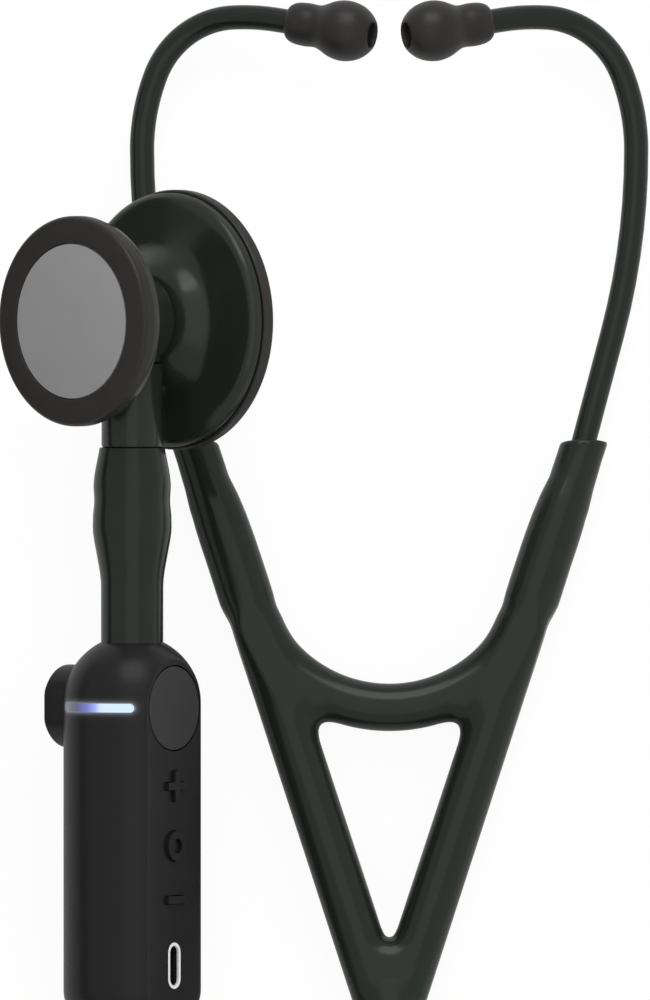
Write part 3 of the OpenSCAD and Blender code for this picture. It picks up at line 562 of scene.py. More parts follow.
def finish_of(name, dark, light, rough, mottle=220.0, grain=1800.0, bump=0.05, **sockets):
    """Moulded or coated finish: colour drifts between dark and light over a few millimetres, roughness drifts
    with it between the two values in rough, and a fine grain lifts the surface. Scales are per metre."""
    material, shader, add, link = node_tree(name)
    where = add("TexCoord")
    drift = add("TexNoise", Scale=mottle, Detail=3.0, Roughness=0.55)
    link(where.outputs["Object"], drift.inputs["Vector"])
    low, high = 0.3, 0.7
    colour = ramp_of(add, [(low, dark), (high, light)])
    link(drift.outputs["Fac"], colour.inputs["Fac"])
    link(colour.outputs["Color"], shader.inputs["Base Color"])
    gloss = add("MapRange", From_Min=low, From_Max=high, To_Min=rough[0], To_Max=rough[1])
    link(drift.outputs["Fac"], gloss.inputs["Value"])
    link(gloss.outputs["Result"], shader.inputs["Roughness"])
    fine = add("TexNoise", Scale=grain, Detail=2.0, Roughness=0.6)
    link(where.outputs["Object"], fine.inputs["Vector"])
    relief = add("Bump", Strength=bump, Distance=GRAIN_DEPTH / 1000)
    link(fine.outputs["Fac"], relief.inputs["Height"])
    link(relief.outputs["Normal"], shader.inputs["Normal"])
    set_sockets(shader, **sockets)
    return material


def grey(low, high):
    """Two neutral tones."""
    return (low,) * 3, (high,) * 3


def brushed_steel():
    """Bright steel with fine streaks: noise stretched along one direction drives tone and roughness."""
    material, shader, add, link = node_tree("brushed_steel")
    where, lay = add("TexCoord"), add("Mapping")
    lay.inputs["Scale"].default_value = (40, 900, 900)
    streaks = add("TexNoise", Scale=1.0, Detail=4.0)
    link(where.outputs["Object"], lay.inputs["Vector"])
    link(lay.outputs["Vector"], streaks.inputs["Vector"])
    gloss = add("MapRange", From_Min=0.3, From_Max=0.7, To_Min=0.22, To_Max=0.45)
    link(streaks.outputs["Fac"], gloss.inputs["Value"])
    link(gloss.outputs["Result"], shader.inputs["Roughness"])
    tone = ramp_of(add, [(0.0, (0.36, 0.36, 0.37)), (1.0, (0.6, 0.6, 0.61))])
    link(streaks.outputs["Fac"], tone.inputs["Fac"])
    link(tone.outputs["Color"], shader.inputs["Base Color"])
    set_sockets(shader, Metallic=1.0)
    return material


def moulded_black(name):
    """The module's matt black plastic."""
    return finish_of(name, *grey(0.0145, 0.0155), (0.29, 0.33), grain=2600.0, bump=0.06,
                     Specular_IOR_Level=0.2)


def casing_axes(add, link):
    """Coordinates of a place in the casing's own axes, in metres."""
    where, lay, axes = add("TexCoord"), add("Mapping"), add("SeparateXYZ")
    back = np.linalg.inv(CASING)
    lay.inputs["Rotation"].default_value = Matrix(back[:3, :3].tolist()).to_euler()
    lay.inputs["Location"].default_value = (back[:3, 3] / 1000).tolist()
    link(where.outputs["Object"], lay.inputs["Vector"])
    link(lay.outputs["Vector"], axes.inputs["Vector"])
    return axes


LIGHT_REACH = MODULE_R * sind(LIGHT_HALF) / 1000  # half the bar's width across the casing, in metres
LIGHT_STOPS = [
    (0.0, (0.16, 0.16, 0.19)), (0.2, (0.1, 0.1, 0.13)), (0.27, (0.08, 0.09, 0.2)), (0.45, (0.16, 0.19, 0.55)),
    (0.56, (0.33, 0.41, 0.92)), (0.62, (0.62, 0.74, 0.95)), (0.7, (0.64, 0.81, 0.97)),
]


def lit_plastic():
    """Diffusing plastic that glows along the casing's x: nearly dark at the left, violet, then pale blue."""
    material, shader, add, link = node_tree("lit_window")
    along = add("MapRange", From_Min=-LIGHT_REACH, From_Max=LIGHT_REACH)
    link(casing_axes(add, link).outputs["X"], along.inputs["Value"])
    ramp = ramp_of(add, LIGHT_STOPS)
    link(along.outputs["Result"], ramp.inputs["Fac"])
    link(ramp.outputs["Color"], shader.inputs["Emission Color"])
    set_sockets(shader, Emission_Strength=1.0, Base_Color=(0.05, 0.05, 0.06, 1), Roughness=0.35)
    return material


HALO_FALL = 0.00031  # metres over which the light that spills from the bar falls to 1 / e
HALO_LEVEL = 0.26


def add_halo(material):
    """Light that spills from the bar onto the casing: it falls off as exp(-d / HALO_FALL) with the distance d
    from the bar, on the lit front only."""
    shader = material.node_tree.nodes["Principled BSDF"]
    add, link = adder(material.node_tree)
    axes = casing_axes(add, link)

    def do(operation, *values):
        return math_of(add, link, operation, *values)

    half = LIGHT_H / 2000
    past = do("MAXIMUM", do("SUBTRACT", do("ABSOLUTE", axes.outputs["X"]), LIGHT_REACH - half), 0.0)
    rise = do("SUBTRACT", axes.outputs["Z"], LIGHT_S / 1000)
    d = do("SQRT", do("ADD", do("MULTIPLY", past, past), do("MULTIPLY", rise, rise)))
    d = do("MAXIMUM", do("SUBTRACT", d, half), 0.0)
    fall = do("POWER", math.e, do("MULTIPLY", d, -1 / HALO_FALL))
    front = do("LESS_THAN", axes.outputs["Y"], 0.0)
    link(do("MULTIPLY", do("MULTIPLY", fall, front), HALO_LEVEL), shader.inputs["Emission Strength"])
    set_sockets(shader, Emission_Color=(0.8, 0.87, 1, 1))


tube_rubber = finish_of("tube_rubber", (0.0142, 0.0192, 0.0142), (0.0152, 0.0206, 0.0152), (0.18, 0.23),
                        bump=0.02, Specular_IOR_Level=0.31)
coated_metal = finish_of("coated_metal", (0.0180, 0.0232, 0.0178), (0.0194, 0.0248, 0.0192), (0.18, 0.22),
                         bump=0.01, Specular_IOR_Level=0.36)
# The ear tubes' copy of the coating above, with a darker base colour: painted shade on the ear tubes, which
# lie low by the table.
ear_metal_painted_shade = finish_of("ear_metal_painted_shade", (0.0098, 0.0146, 0.0102), (0.0108, 0.0158, 0.0112), (0.18, 0.22),
                      bump=0.01, Specular_IOR_Level=0.36)
soft_rim = finish_of("soft_rim", (0.0155, 0.0135, 0.0122), (0.0180, 0.0155, 0.0143), (0.38, 0.44),
                     bump=0.08, Specular_IOR_Level=0.4)
grey_membrane = finish_of("grey_membrane", *grey(0.325, 0.335), (0.5, 0.56), mottle=90.0, bump=0.06,
                          Specular_IOR_Level=0.3)
case_black = moulded_black("case_black")
add_halo(case_black)
key_black = moulded_black("key_black")
knob_black = moulded_black("knob_black")
disc_grey = finish_of("disc_grey", *grey(0.031, 0.033), (0.32, 0.36), grain=2600.0, bump=0.06,
                      Specular_IOR_Level=0.3)
lit_window = lit_plastic()
white_trim = finish_of("white_trim", *grey(0.86, 0.9), (0.35, 0.4), bump=0.02)
inner_plastic = finish_of("inner_plastic", (0.6, 0.58, 0.5), (0.66, 0.64, 0.57), (0.4, 0.5))
seal_rubber = finish_of("seal_rubber", *grey(0.01, 0.014), (0.5, 0.6))
green_board = finish_of("green_board", (0.01, 0.09, 0.035), (0.015, 0.12, 0.05), (0.35, 0.45), mottle=900.0)
cell_wrap = finish_of("cell_wrap", (0.13, 0.17, 0.21), (0.16, 0.21, 0.26), (0.3, 0.36))
steel = brushed_steel()

# Camera, light and table
VIEW_X = 0.02  # the point that the camera looks at, across and up the picture
VIEW_UP = 5.9
VIEW_TILT = 9.0
VIEW_FAR = 5500.0
VIEW_HIGH = 200.0  # what the picture's height takes in
SENSOR = 36.0
TABLE_HALF = 3.0  # in metres, as are the table's drop and the card's sizes
TABLE_DROP = 0.0003
TABLE_WHITE = 1.04
TABLE_SHARES = {"Is Camera Ray": 0.9, "Is Transmission Ray": 0.9, "Is Glossy Ray": 0.1}
WORLD_LEVEL = 0.57
CARD_X = -0.19
CARD_Y = -0.2, 0.15
CARD_H = 0.045


def look():
    """Camera above the table at the photo's angle, far off with a long lens."""
    data = bpy.data.cameras.new("camera")
    data.lens, data.sensor_width = SENSOR * VIEW_FAR / VIEW_HIGH, SENSOR
    data.clip_start, data.clip_end = 0.1, 50
    camera = bpy.data.objects.new("camera", data)
    bpy.context.scene.collection.objects.link(camera)
    aim = np.array([VIEW_X, VIEW_UP * cosd(VIEW_TILT), VIEW_UP * sind(VIEW_TILT)])
    away = np.array([0, -sind(VIEW_TILT), cosd(VIEW_TILT)])
    camera.location = (aim + away * VIEW_FAR) / 1000
    camera.rotation_euler = math.radians(VIEW_TILT), 0, 0
    bpy.context.scene.camera = camera


def stage_sheet(name, corners, material):
    """Flat sheet with four corners that belongs to the stage, not to the object."""
    mesh = bpy.data.meshes.new(name)
    mesh.from_pydata(corners, [], [(0, 1, 2, 3)])
    mesh.materials.append(material)
    sheet = bpy.data.objects.new(name, mesh)
    bpy.context.scene.collection.objects.link(sheet)
    return sheet


def table():
    """White table: matt under the lamps and mostly plain white to the camera, so a faint shadow stays."""
    material = bpy.data.materials.new("table")
    material.use_nodes = True
    material.node_tree.nodes.clear()
    add, link = adder(material.node_tree)
    out, mix = add("OutputMaterial"), add("MixShader")
    matt = add("BsdfDiffuse", Color=(0.8, 0.8, 0.8, 1))
    white = add("Emission", Strength=TABLE_WHITE)
    path = add("LightPath")
    share = 0.0
    for ray, amount in TABLE_SHARES.items():
        share = math_of(add, link, "MULTIPLY_ADD", path.outputs[ray], amount, share)
    link(share, mix.inputs[0])
    link(matt.outputs[0], mix.inputs[1])
    link(white.outputs[0], mix.inputs[2])
    link(mix.outputs[0], out.inputs[0])
    h, z = TABLE_HALF, -TABLE_DROP
    stage_sheet("table", [(-h, -h, z), (h, -h, z), (h, h, z), (-h, h, z)], material)


def sky():
    """Even light from all round, which the camera sees as white."""
    world = bpy.data.worlds.new("studio")
    bpy.context.scene.world = world
    world.use_nodes = True
    add, link = adder(world.node_tree)
    plain = world.node_tree.nodes["Background"]
    plain.inputs["Color"].default_value = (1, 1, 1, 1)
    path, amount = add("LightPath"), add("MapRange", To_Min=WORLD_LEVEL, To_Max=1.0)
    link(path.outputs["Is Camera Ray"], amount.inputs["Value"])
    link(amount.outputs["Result"], plain.inputs["Strength"])


def soft_box(name, at, size, power):
    """Rectangular lamp, in metres and watts, that faces the table's middle. The camera doesn't see it."""
    data = bpy.data.lights.new(name, "AREA")
    data.shape, data.size, data.size_y = "RECTANGLE", size[0], size[1]
    data.energy = power
    lamp = bpy.data.objects.new(name, data)
    bpy.context.scene.collection.objects.link(lamp)
    lamp.location = at
    lamp.rotation_euler = lamp.location.to_track_quat("Z", "Y").to_euler()
    lamp.visible_camera = False
    return lamp


def dark_card():
    """Low black card at the left, which draws a dark line along the round pieces."""
    material, shader, *_ = node_tree("card")
    set_sockets(shader, Base_Color=(0.005, 0.005, 0.005, 1), Roughness=0.9)
    near, far = CARD_Y
    corners = [(CARD_X, near, 0), (CARD_X, far, 0), (CARD_X, far, CARD_H), (CARD_X, near, CARD_H)]
    card = stage_sheet("card", corners, material)
    card.visible_camera = card.visible_shadow = False


look()
table()
sky()
soft_box("top_box", (0.0, 0.0, 1.6), (1.2, 3.0), 3.8)
soft_box("far_box", (0.0, 1.13, 1.02), (0.9, 0.95), 5.9)
soft_box("right_box", (1.4, 0.0, 0.5), (0.7, 1.2), 6.0).visible_glossy = False
dark_card()
bpy.context.scene.view_settings.view_transform = "Standard"

# Main tube, the one free cord, along a given route
ROUTE_GAP = 0.02
ROUTE = [
    [HEADSET_X, HEADSET_Y - (TRUNK_LEN + ROUTE_GAP) * cosd(HEADSET_PITCH),
     HEADSET_Z + TRUNK_LEN * sind(HEADSET_PITCH)],
    [14, -114, 6.3], [17, -123, 6.3], [21, -132, 6.3], [27, -140, 6.3], [37, -157, 6.3], [40.5, -177, 6.3],
    [36, -197, 6.3], [24.5, -213.5, 6.3], [7.5, -224.5, 6.3], [-12.5, -228.5, 6.3], [-32.5, -224.5, 6.3],
    [-49.5, -213.5, 6.3], [-61, -197, 6.3], [-65.5, -177, 6.3], [-62, -157, 6.3], [-52, -140, 6.7],
    [-46, -132, 7.4], [-42, -123, 8.7], [-39, -114, 10.2],
    [COLUMN_X, COLUMN_Y - ROUTE_GAP * cosd(COLUMN_TILT), COLUMN_Z - ROUTE_GAP * sind(COLUMN_TILT)],
]


def levelled(ahead, at):
    """Frames at some points: z along the directions that are given, x level with the table."""
    z = ahead / np.linalg.norm(ahead, axis=1)[:, None]
    x = np.cross(z, [0, 0, 1.0])
    x /= np.linalg.norm(x, axis=1)[:, None]
    made = np.tile(np.eye(4), (len(at), 1, 1))
    made[:, :3, 0], made[:, :3, 1], made[:, :3, 2], made[:, :3, 3] = x, np.cross(z, x), z, at
    return made


def main_tube():
    """Tube of one thickness along the route's smooth curve, from the yoke round to the module's foot."""
    path = through(ROUTE, 8)
    ahead = np.gradient(path, axis=0)
    ahead[0] = 0, -cosd(HEADSET_PITCH), sind(HEADSET_PITCH)
    ahead[-1] = 0, cosd(COLUMN_TILT), sind(COLUMN_TILT)
    surface = carried_circle(levelled(ahead, path), TUBE_R, 40)
    tube = piece("main_tube_hose", surface, tube_rubber, "base", "main_tube", slot="tube_black")


main_tube()


# Headset
def arm_at(u, w):
    """Distance out from an arm's axis, in the headset's plane, and the arm's radius there. The sleeve's end
    leans out a little. On the outer side the distance is scaled, so that it alone swells or steps in."""
    c, s = cosd(ARM_ANGLE), sind(ARM_ANGLE)
    along, off = (u - ARM_START) * s + w * c, (u - ARM_START) * c - w * s
    height = along * c - SLEEVE_TOP
    off = off - SLEEVE_LEAN * ease(1 + height / SLEEVE_LEAN_LEN)
    radius = LEG_R + np.interp(height, *np.transpose(ARM_GAIN))
    outer = radius / (radius + np.interp(height, *np.transpose(OUTER_GAIN)))
    return np.where(off > 0, off * outer, off), radius


def bridge_at(u, w, v):
    """Field of the bridge, a bent round bar with ball ends, and the distance outside its bend."""
    reach = np.hypot(u, w - BRIDGE_W) - BRIDGE_R
    end = BRIDGE_R * cosd(BRIDGE_END), BRIDGE_W - BRIDGE_R * sind(BRIDGE_END)
    low = np.degrees(np.arctan2(w - BRIDGE_W, u)) < -BRIDGE_END
    bend, ball = np.hypot(reach, v), np.sqrt((u - end[0])**2 + (w - end[1])**2 + v**2)
    return np.where(low, bend, ball) - BRIDGE_D / 2, reach


def web_at(u, w, v):
    """Field of the flat web below the triangle, rolled off round the triangle's foot: a wedge with a round
    end is cut from a plate as thick as the arms. The plate thins out along the arms."""
    c, s = cosd(ARM_ANGLE), sind(ARM_ANGLE)
    apex = (LEG_R - ARM_START * c + CROTCH_R) / s
    beside, above = u * c - (w - apex) * s, u * s + (w - apex) * c
    hole = CROTCH_R - np.where(above < 0, np.hypot(u, w - apex), beside)
    return smooth_max(np.abs(v) - LEG_R, hole, WEB_ROUND) + WEB_THIN * ease((w - 16) / 12)


def yoke_field(p):
    """Distance-like field of the yoke, below zero inside: two arms whose radius changes along them, a bent
    bar between them, a web and a trunk where they meet, run together with rounds, cut square at the ends."""
    u, w, v = np.abs(p[..., 0]), p[..., 1], p[..., 2]
    off, radius = arm_at(u, w)
    far_off, far_radius = arm_at(-u, w)
    arms = smooth_min(np.hypot(off, v) - radius, np.hypot(far_off, v) - far_radius, ARM_ROUND)
    # a wide round in the triangle's corners, a narrow one in the U
    bar, reach = bridge_at(u, w, v)
    body = smooth_min(arms, bar, U_ROUND + CORNER_ROUND * ease((reach + 1) / 4))
    # the rounds stay within the arms' outer sides and the yoke's thickness
    body = smooth_max(body, off - radius - 0.05, SKIN_ROUND)
    body = smooth_max(body, np.abs(v) - radius - np.interp(w, [8, 24], [1.4, 0.12]), SKIN_ROUND)
    # the web lies between the arms' axes
    body = np.minimum(body, np.maximum(web_at(u, w, v), off))
    # the trunk is round at its foot and flattened where the arms join it
    flatter = np.interp(w, [-1, 8], [1, TRUNK_FLATTER])
    trunk = np.sqrt(u * u + (v * flatter)**2 + np.maximum(w - TRUNK_TOP + TUBE_R, 0)**2) - TUBE_R
    body = smooth_min(body, trunk, TRUNK_ROUND)
    body = smooth_max(body, w - SLEEVE_TOP, SLEEVE_ROUND)
    return np.maximum(body, -TRUNK_LEN - w)


def half_of(surface, side):
    """Mesh of the part of a headset surface on one side of its middle plane."""
    mesh = mesh_of("half", surface)
    work = bmesh.new()
    work.from_mesh(mesh)
    everything = work.verts[:] + work.edges[:] + work.faces[:]
    bmesh.ops.bisect_plane(work, geom=everything, plane_co=(HEADSET_X / 1000, 0, 0), plane_no=(side, 0, 0),
                           clear_inner=True)
    work.to_mesh(mesh)
    work.free()
    return mesh


BEND_START = 19.0, 58.0  # where the right half's bend starts and ends, on the headset's plane
BEND_END = 42.2, 69.6


def bends_with(thing, side):
    """Bakes a yoke piece's place into its mesh. The two ends of its bend are worked out and left unused."""
    start, end = (place(np.array([side * u, w, 0]), HEADSET) / 1000 for u, w in (BEND_START, BEND_END))
    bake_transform(thing)
    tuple(start)
    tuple(end)


def yoke():
    """The moulded yoke, in two halves that meet on the middle plane."""
    corners, faces = level_surface(yoke_field, (-46, -5.2, -7.8), (46, 118, 7.8), 0.6)
    whole = place(corners, HEADSET), faces
    for side, name in SIDES:
        half = piece(f"yoke_{name}_half", half_of(whole, side), tube_rubber, None, "yoke", slot="tube_black",
                     crisp=60)
        bends_with(half, side)


def leaf_spring():
    """Spring strip in the bridge, in two halves: a flat section carried round the bridge's centre."""
    a = np.radians(np.linspace(-90, -SPRING_END, 49))[:, None]
    r = SPRING_R + np.array([0, SPRING_T, SPRING_T, 0])
    v = SPRING_W / 2 * np.array([-1, -1, 1, 1])
    for side, name in SIDES:
        corners, faces = with_ends(np.stack([side * r * np.cos(a), BRIDGE_W + r * np.sin(a), v + 0 * a], -1))
        strip = piece(f"spring_{name}_half", (place(corners, HEADSET), faces), steel, None, "leaf_spring",
                      slot="steel")
        bends_with(strip, side)


def ear_chain(side):
    """Frames along an ear tube: a straight length, bends that each start where the last one ends, and a
    straight end. A bend of radius r turns the run's z towards its -x. Also the frame of the end."""
    here = HEADSET @ np.diag([side, 1, 1, 1]) @ shift(EAR_START, SLEEVE_TOP, 0)
    here = here @ turn("z", -EAR_LEAN) @ turn("x", -90)
    runs = [[here @ shift(0, 0, z) for z in (-EAR_DEPTH, -EAR_DEPTH / 2, 0, EAR_STRAIGHT / 2)]]
    here = here @ shift(0, 0, EAR_STRAIGHT)

    def bent(r, a):
        return here @ shift(-r + r * cosd(a), 0, r * sind(a)) @ turn("y", -a)

    for i, (r, angle) in enumerate(EAR_BENDS):
        if i == 1:
            here = here @ turn("z", EAR_FORWARD)
        steps = max(4, int(angle / 2))
        runs.append([bent(r, a) for a in np.linspace(0, angle, steps, endpoint=False)])
        here = bent(r, angle)
    runs.append([here, here @ shift(0, 0, TIP_LEAD + EAR_SEAT)])
    return np.array([f for run in runs for f in run]), here


def ear_tube(side, name):
    """Bent metal tube: a circle carried along the chain of bends. Gives the frame of its end."""
    frames, end = ear_chain(side)
    surface = carried_circle(levelled(frames[:, :3, 2], frames[:, :3, 3]), EAR_R, 32)
    piece(f"{name}_ear_tube_bent", surface, ear_metal_painted_shade, f"{name}_earpiece", f"{name}_ear_tube",
          slot="metal_black")
    return end


def eartip(name, end):
    """Soft ear tip: a smooth double bulb, its mouth flared inwards, turned about the ear tube's end."""
    bulb = np.concatenate([through(TIP_OUTSIDE, 4), through(TIP_INSIDE, 4)]) * [1, TIP_LEN / TIP_DRAWN]
    seat = EAR_SEAT + SEAT_GAP
    foot = [[TIP_BORE, seat], [EAR_R + SEAT_GAP, seat], [EAR_R + SEAT_GAP, 0]]
    surface = lathe(np.concatenate([bulb, foot]), end @ shift(0, 0, TIP_LEAD), 72, closed=True)
    piece(f"{name}_eartip_soft", surface, soft_rim, f"{name}_earpiece", f"{name}_eartip", slot="rim_rubber",
          crisp=50)


yoke()
leaf_spring()
for side, name in SIDES:
    eartip(name, ear_tube(side, name))


# Chestpiece, stem and short tube
def side_outline(r, face, waist):
    """Profile of one side of the chestpiece, from the middle of its seat out to the waist: the rim's seat, a
    bevelled metal band, and a bell that runs nearly flat and then down a cone to the waist."""
    wall, band = r - RIM_WALL - SEAT_GAP, r - BAND_STEP
    seat, rim = face - RIM_LIP - SEAT_DROP, face - RIM_H
    start, foot = np.array([band - BELL_EDGE, rim - BAND_H - BELL_DROP]), np.array([WAIST_R, waist])
    edge = [[0, seat], [wall, seat], [wall, rim], [band - 0.15, rim], [band, rim - 0.15]]
    bevel = [[band - a, rim - BAND_H + b] for a, b in BAND_BEVEL]
    return np.concatenate([edge, bevel, start + through(BELL_SHARES, 5) * (foot - start)])


def rim_profile(r, face):
    """Section of a soft rim: a flat face with a round outer edge, a lip inwards and a wall round the bowl."""
    low, lip, wall, inner = face - RIM_H + SEAT_GAP, face - RIM_LIP, r - RIM_WALL, r - RIM_FACE_W
    return np.concatenate([
        [[inner, lip], [inner, face - 0.4]],
        arc(inner + RIM_INNER_ROUND, face - RIM_INNER_ROUND, RIM_INNER_ROUND, 180, 90, 4),
        arc(r - RIM_ROUND, face - RIM_ROUND, RIM_ROUND, 90, 0, 10),
        [[r, face - RIM_H + 0.3], [r - 0.25, low], [wall, low], [wall, lip]],
    ])


def membrane_profile(r, face):
    """Section of a membrane: a wide hidden edge under the rim's lip, a raised middle with a broken edge."""
    lip, edge, hold = face - RIM_LIP - RUN_GAP, r - RIM_FACE_W - SHOW_GAP, r - RIM_WALL - MEMBRANE_HOLD
    top = face - MEMBRANE_DROP
    return [[0, lip - MEMBRANE_T], [hold, lip - MEMBRANE_T], [hold, lip], [edge, lip], [edge, top - 0.15],
            [edge - 0.06, top - 0.05], [edge - 0.2, top], [0, top]]


def chestpiece():
    """Turned double bowl with the stem's boss, its two soft rims and its two membranes."""
    small = side_outline(PEDIATRIC_R, PEDIATRIC_FACE, PEDIATRIC_WAIST)
    large = side_outline(ADULT_R, ADULT_FACE, ADULT_WAIST) * [1, -1]
    bowl = lathe(np.concatenate([large, small[::-1]]), CHEST, 128)
    r, top = STEM_R - 0.1, BOSS_REACH - RUN_GAP
    boss = lathe([[0, -BOSS_FOOT], [r, -BOSS_FOOT], [r, BOSS_REACH - 0.3], [r - 0.2, top], [0, top]],
                 CHEST @ turn("x", 90), 64)
    piece("chestpiece_bowl", joined(bowl, boss), coated_metal, "chestpiece", "chestpiece_body",
          slot="metal_black")
    sizes = ("adult", ADULT_R, ADULT_FACE, -1), ("pediatric", PEDIATRIC_R, PEDIATRIC_FACE, 1)
    for name, r, face, flip in sizes:
        where = CHEST @ np.diag([1, 1, flip, 1])
        rim = lathe(rim_profile(r, face), where, 128, closed=True)
        piece(f"{name}_rim_soft", rim, soft_rim, "chestpiece", f"{name}_rim", slot="rim_rubber")
        disc = lathe(membrane_profile(r, face), where, 128)
        piece(f"{name}_membrane", disc, grey_membrane, f"{name}_diaphragm", f"{name}_diaphragm",
              slot="diaphragm_grey")


# Radius and height of the stem's barbs, which the short tube is moulded over
BARBS = [
    [NIPPLE_R, TUBE_TOP - BARB_LEN], [BARB_R, TUBE_TOP - 15.6], [BARB_R - 1, TUBE_TOP - 14.4],
    [BARB_R - 0.7, TUBE_TOP - 9], [BARB_R - 0.2, TUBE_TOP - 7], [BARB_R - 1, TUBE_TOP - 6],
    [BARB_R - 1.2, TUBE_TOP],
]


def stem():
    """Turned stem: barbs, a plain barrel with broken edges, and the pivot."""
    top = CHEST_S + PIVOT_REACH
    barrel = [[STEM_R - 0.4, TUBE_TOP], [STEM_R - 0.1, TUBE_TOP + 0.12], [STEM_R, TUBE_TOP + 0.4],
              [STEM_R, SHOULDER_S - 0.6], [STEM_R - 0.15, SHOULDER_S - 0.2], [STEM_R - 0.6, SHOULDER_S],
              [PIVOT_R, SHOULDER_S], [PIVOT_R, top], [0, top]]
    surface = lathe([[0, TUBE_TOP - BARB_LEN], *BARBS, *barrel], COLUMN, 96)
    piece("stem_turned", surface, coated_metal, "base", "stem", slot="metal_black")


def short_tube():
    """Tube that swells over the stem's barbs: r = TUBE_R + SWELL_H ease(in) ease(out) + ripples."""
    d = np.linspace(SWELL_LEN, 0.4, 60)
    r = TUBE_R + SWELL_H * ease((d + 3) / 11) * ease((SWELL_LEN - d) / 12)
    r += RIPPLE_H * ease(1 - np.abs(d - 15.6) / 5) - RIPPLE_H * ease(1 - np.abs(d - 10.6) / 3)
    foot = [[NIPPLE_R + SEAT_GAP, TUBE_FOOT], [TUBE_R, TUBE_FOOT]]
    skin = np.stack([r, TUBE_TOP - d], -1)
    mouth = [[r[-1] - 0.05, TUBE_TOP - 0.15], [r[-1] - 0.4, TUBE_TOP - SEAT_GAP]]
    inside = np.array(BARBS[::-1]) + [SEAT_GAP, -SEAT_GAP]
    surface = lathe(np.concatenate([foot, skin, mouth, inside]), COLUMN, 96, closed=True)
    piece("short_tube_hose", surface, tube_rubber, "base", "short_tube", slot="tube_black")


chestpiece()
stem()
short_tube()


# Module
def casing_skin(inset):
    """One wall of the module's casing as a grid: a profile with a rounded foot and a dome is turned round the
    axis, and the radius is held to x / |cos a| at the two flats, with a round where they meet."""
    r, x, edge = MODULE_R - inset, FLAT_X - inset, EDGE_R - inset
    hole_low, hole_high = TUBE_R + SEAT_GAP, TUBE_R + SHOW_GAP
    a = np.radians(np.linspace(0, 360, 192, endpoint=False))
    top = math.degrees(math.acos(hole_high / r))
    profile = np.concatenate([
        [[hole_low, inset]], arc(r - edge, inset + edge, edge, -90, 0, 12),
        np.stack([np.full(24, r), np.linspace(inset + edge, DOME_S, 26)[1:-1]], -1),
        arc(0, DOME_S, r, 0, top, 40),
    ])
    around, height = profile[:, :1], profile[:, 1:]
    flat = x / np.maximum(np.abs(np.cos(a)), 1e-3)
    held = smooth_min(around + 0 * a, flat + 0 * around, FLAT_ROUND)
    held = np.where(around < x - FLAT_ROUND, around, held)
    return np.stack([held * np.cos(a), held * np.sin(a), height + 0 * a], -1)


def casing_wall():
    """Closed shell of the casing: the outer wall from foot to dome, then the inner wall back down."""
    grid = np.concatenate([casing_skin(0), casing_skin(WALL)[::-1]])
    return place(grid.reshape(-1, 3), CASING), ring_of_quads(*grid.shape[:2], wrap_rows=True)


def light_slot(gap, low, high):
    """Bar bent round the casing's axis, with round ends: at angle a its half height is
    sqrt(h^2 - max(0, |R a| - L + h)^2), between two radii."""
    h = LIGHT_H / 2 + gap
    length = MODULE_R * math.radians(LIGHT_HALF) + gap
    lay = length * np.sin(np.linspace(-np.pi / 2, np.pi / 2, 81))
    half = np.sqrt(np.maximum(h * h - np.maximum(np.abs(lay) - length + h, 0)**2, 1e-6))[:, None]
    a = (lay / MODULE_R - np.pi / 2)[:, None]
    r = np.array([low, high, high, high, high, high, low])
    z = np.array([-1, -1, -0.5, 0, 0.5, 1, 1])
    corners, faces = with_ends(np.stack([r * np.cos(a), r * np.sin(a), LIGHT_S + half * z], -1))
    return place(corners, CASING), faces


def at_flat(s):
    """Frame whose z runs out of the flat with the keys, at a height on the module."""
    return CASING @ shift(0, 0, s) @ ACROSS


def casing_cuts():
    """Openings of the casing: for the valve, its end disc, the keys, the port, the light and the screws."""
    key, stroke = KEY_W / 2 + SHOW_GAP, KEY_STROKE / 2 + SHOW_GAP
    past = FLAT_X + CUT_PAST
    wall = FLAT_X - WALL - 1, past
    port = at_flat(PORT_S) @ turn("z", 90)
    mouth = obround(PORT_L - 2 * TRIM_W, PORT_W - 2 * TRIM_W)
    trim = obround(PORT_L + 2 * SEAT_GAP, PORT_W + 2 * SEAT_GAP)
    disc = circle_outline(DISC_R + 2 / 3 * DISC_GAP, 96)
    cuts = [
        prism(circle_outline(BARREL_R + RUN_GAP), -past, FLAT_X - 1, at_flat(KNOB_S)),
        prism(disc, FLAT_X - DISC_T - RUN_GAP, past, at_flat(KNOB_S)),
        prism(cross_outline(key, stroke), *wall, at_flat(PLUS_S)),
        prism(circle_outline(key), *wall, at_flat(RING_S)),
        prism(box_outline(stroke, key), *wall, at_flat(MINUS_S)),
        prism(mouth, *wall, port),
        prism(trim, FLAT_X - TRIM_T, past, port),
        light_slot(SEAT_GAP, MODULE_R - WALL - CUT_PAST, MODULE_R + CUT_PAST),
    ]
    for x in (-SCREW_X, SCREW_X):
        for s in SCREW_S:
            where = CASING @ turn("x", -90) @ shift(x, -s, 0)
            cuts.append(prism(circle_outline(SCREW_R, 32), SEAM_Y + SCREW_FLOOR, MODULE_R + CUT_PAST, where))
    return cuts


def module_casing():
    """Front shell with its openings, back cover with its screw holes, both cut from one wall at the seam."""
    wall, cuts = casing_wall(), casing_cuts()
    outline, where = box_outline(30, 90), CASING @ turn("x", -90) @ shift(0, -40, 0)
    front, back = prism(outline, -40, SEAM_Y, where), prism(outline, SEAM_Y + SEAT_GAP, 40, where)
    piece("module_front_shell", carved(wall, cuts, front), case_black, "base", "housing", slot="case_black",
          crisp=25)
    piece("module_back_cover", carved(wall, cuts, back), case_black, "base", "back_cover", slot="case_black",
          crisp=25)


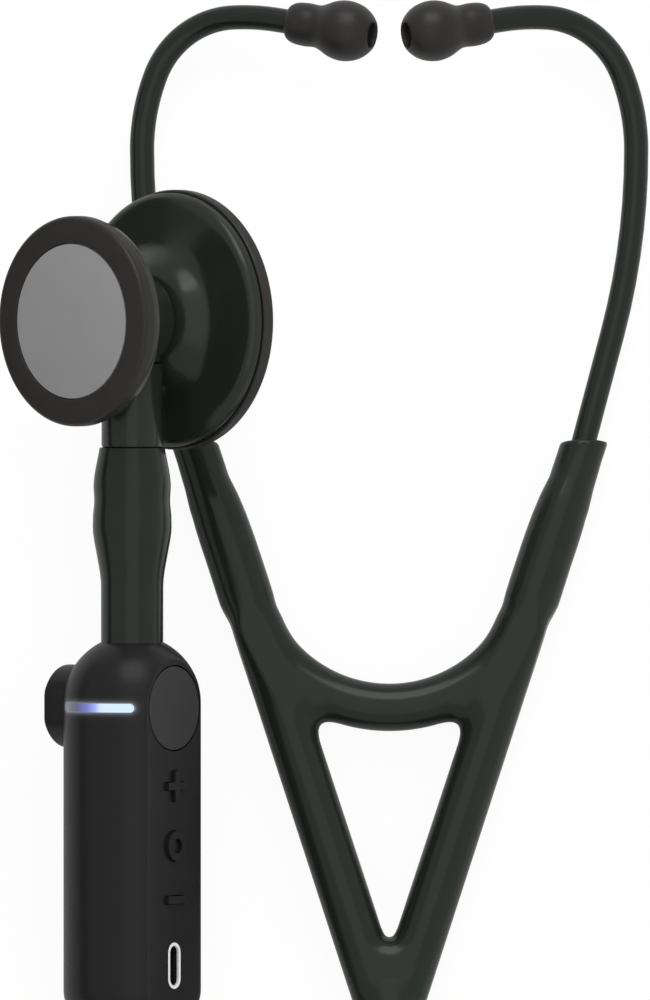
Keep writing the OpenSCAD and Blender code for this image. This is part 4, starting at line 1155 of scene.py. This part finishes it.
def mode_knob():
    """Round knob with two narrow flats and its outer edge just rounded: the ring of a profile point (r, z) is
    at angle a drawn in to min(r, f / |sin a|), where f is the flats' distance less the edge's."""
    h = KNOB_H - RUN_GAP
    profile = np.concatenate([
        [[0, 0], [KNOB_R - KNOB_FOOT, 0], [KNOB_R, KNOB_FOOT]],
        arc(KNOB_R - KNOB_ROUND, h - KNOB_ROUND, KNOB_ROUND, 0, 90, 8), [[0, h]],
    ])
    a = np.radians(np.linspace(0, 360, 144, endpoint=False))
    r, z = profile[:, :1], profile[:, 1:]
    flat = (KNOB_FLAT - KNOB_R + r) / np.maximum(np.abs(np.sin(a)), 1e-3)
    held = np.where(r < KNOB_R - 1, r, smooth_min(r + 0 * a, flat, 0.3))
    corners, faces = with_ends(np.stack([held * np.cos(a), held * np.sin(a), z + 0 * a], -1))
    where = CASING @ shift(-FLAT_X - RUN_GAP, 0, KNOB_S) @ turn("y", -90)
    piece("mode_knob_turned", (place(corners, where), faces), knob_black, "mode_valve", "mode_knob",
          slot="case_black")


def end_disc():
    """Flat disc flush with the casing's flat, its edge just broken."""
    r, broken = DISC_R - DISC_GAP / 3, 0.06
    profile = [[0, -DISC_T], [r, -DISC_T], [r, -broken], [r - broken, 0], [0, 0]]
    surface = lathe(profile, at_flat(KNOB_S) @ shift(0, 0, FLAT_X), 128)
    piece("end_disc_flat", surface, disc_grey, "mode_valve", "valve_end_disc", slot="key_grey")


def light_bar():
    """Bar of diffusing plastic in its slot, just proud of the casing."""
    surface = light_slot(0, MODULE_R - WALL - LIGHT_DEPTH, MODULE_R + LIGHT_PROUD)
    piece("light_bar_window", surface, lit_window, "base", "light_bar", slot="light", crisp=40)


module_casing()
mode_knob()
end_disc()
light_bar()

# CAD nodes that stay as they are, with their finishes
KEPT = {
    steel: ("stem_retaining_ring", "back_cover_screws", "button_switches", "microphone", "speaker"),
    case_black: ("charging_port",),
    seal_rubber: ("stem_seal", "sound_tube"),
    inner_plastic: ("valve_block", "valve_barrel", "upper_connector", "lower_connector"),
    key_black: ("volume_up_button", "center_button", "volume_down_button"),
    green_board: ("status_leds", "circuit_board"),
    cell_wrap: ("battery",),
    white_trim: ("port_trim_ring",),
}
for material, names in KEPT.items():
    for name in names:
        cad[name].data.materials.clear()
        cad[name].data.materials.append(material)
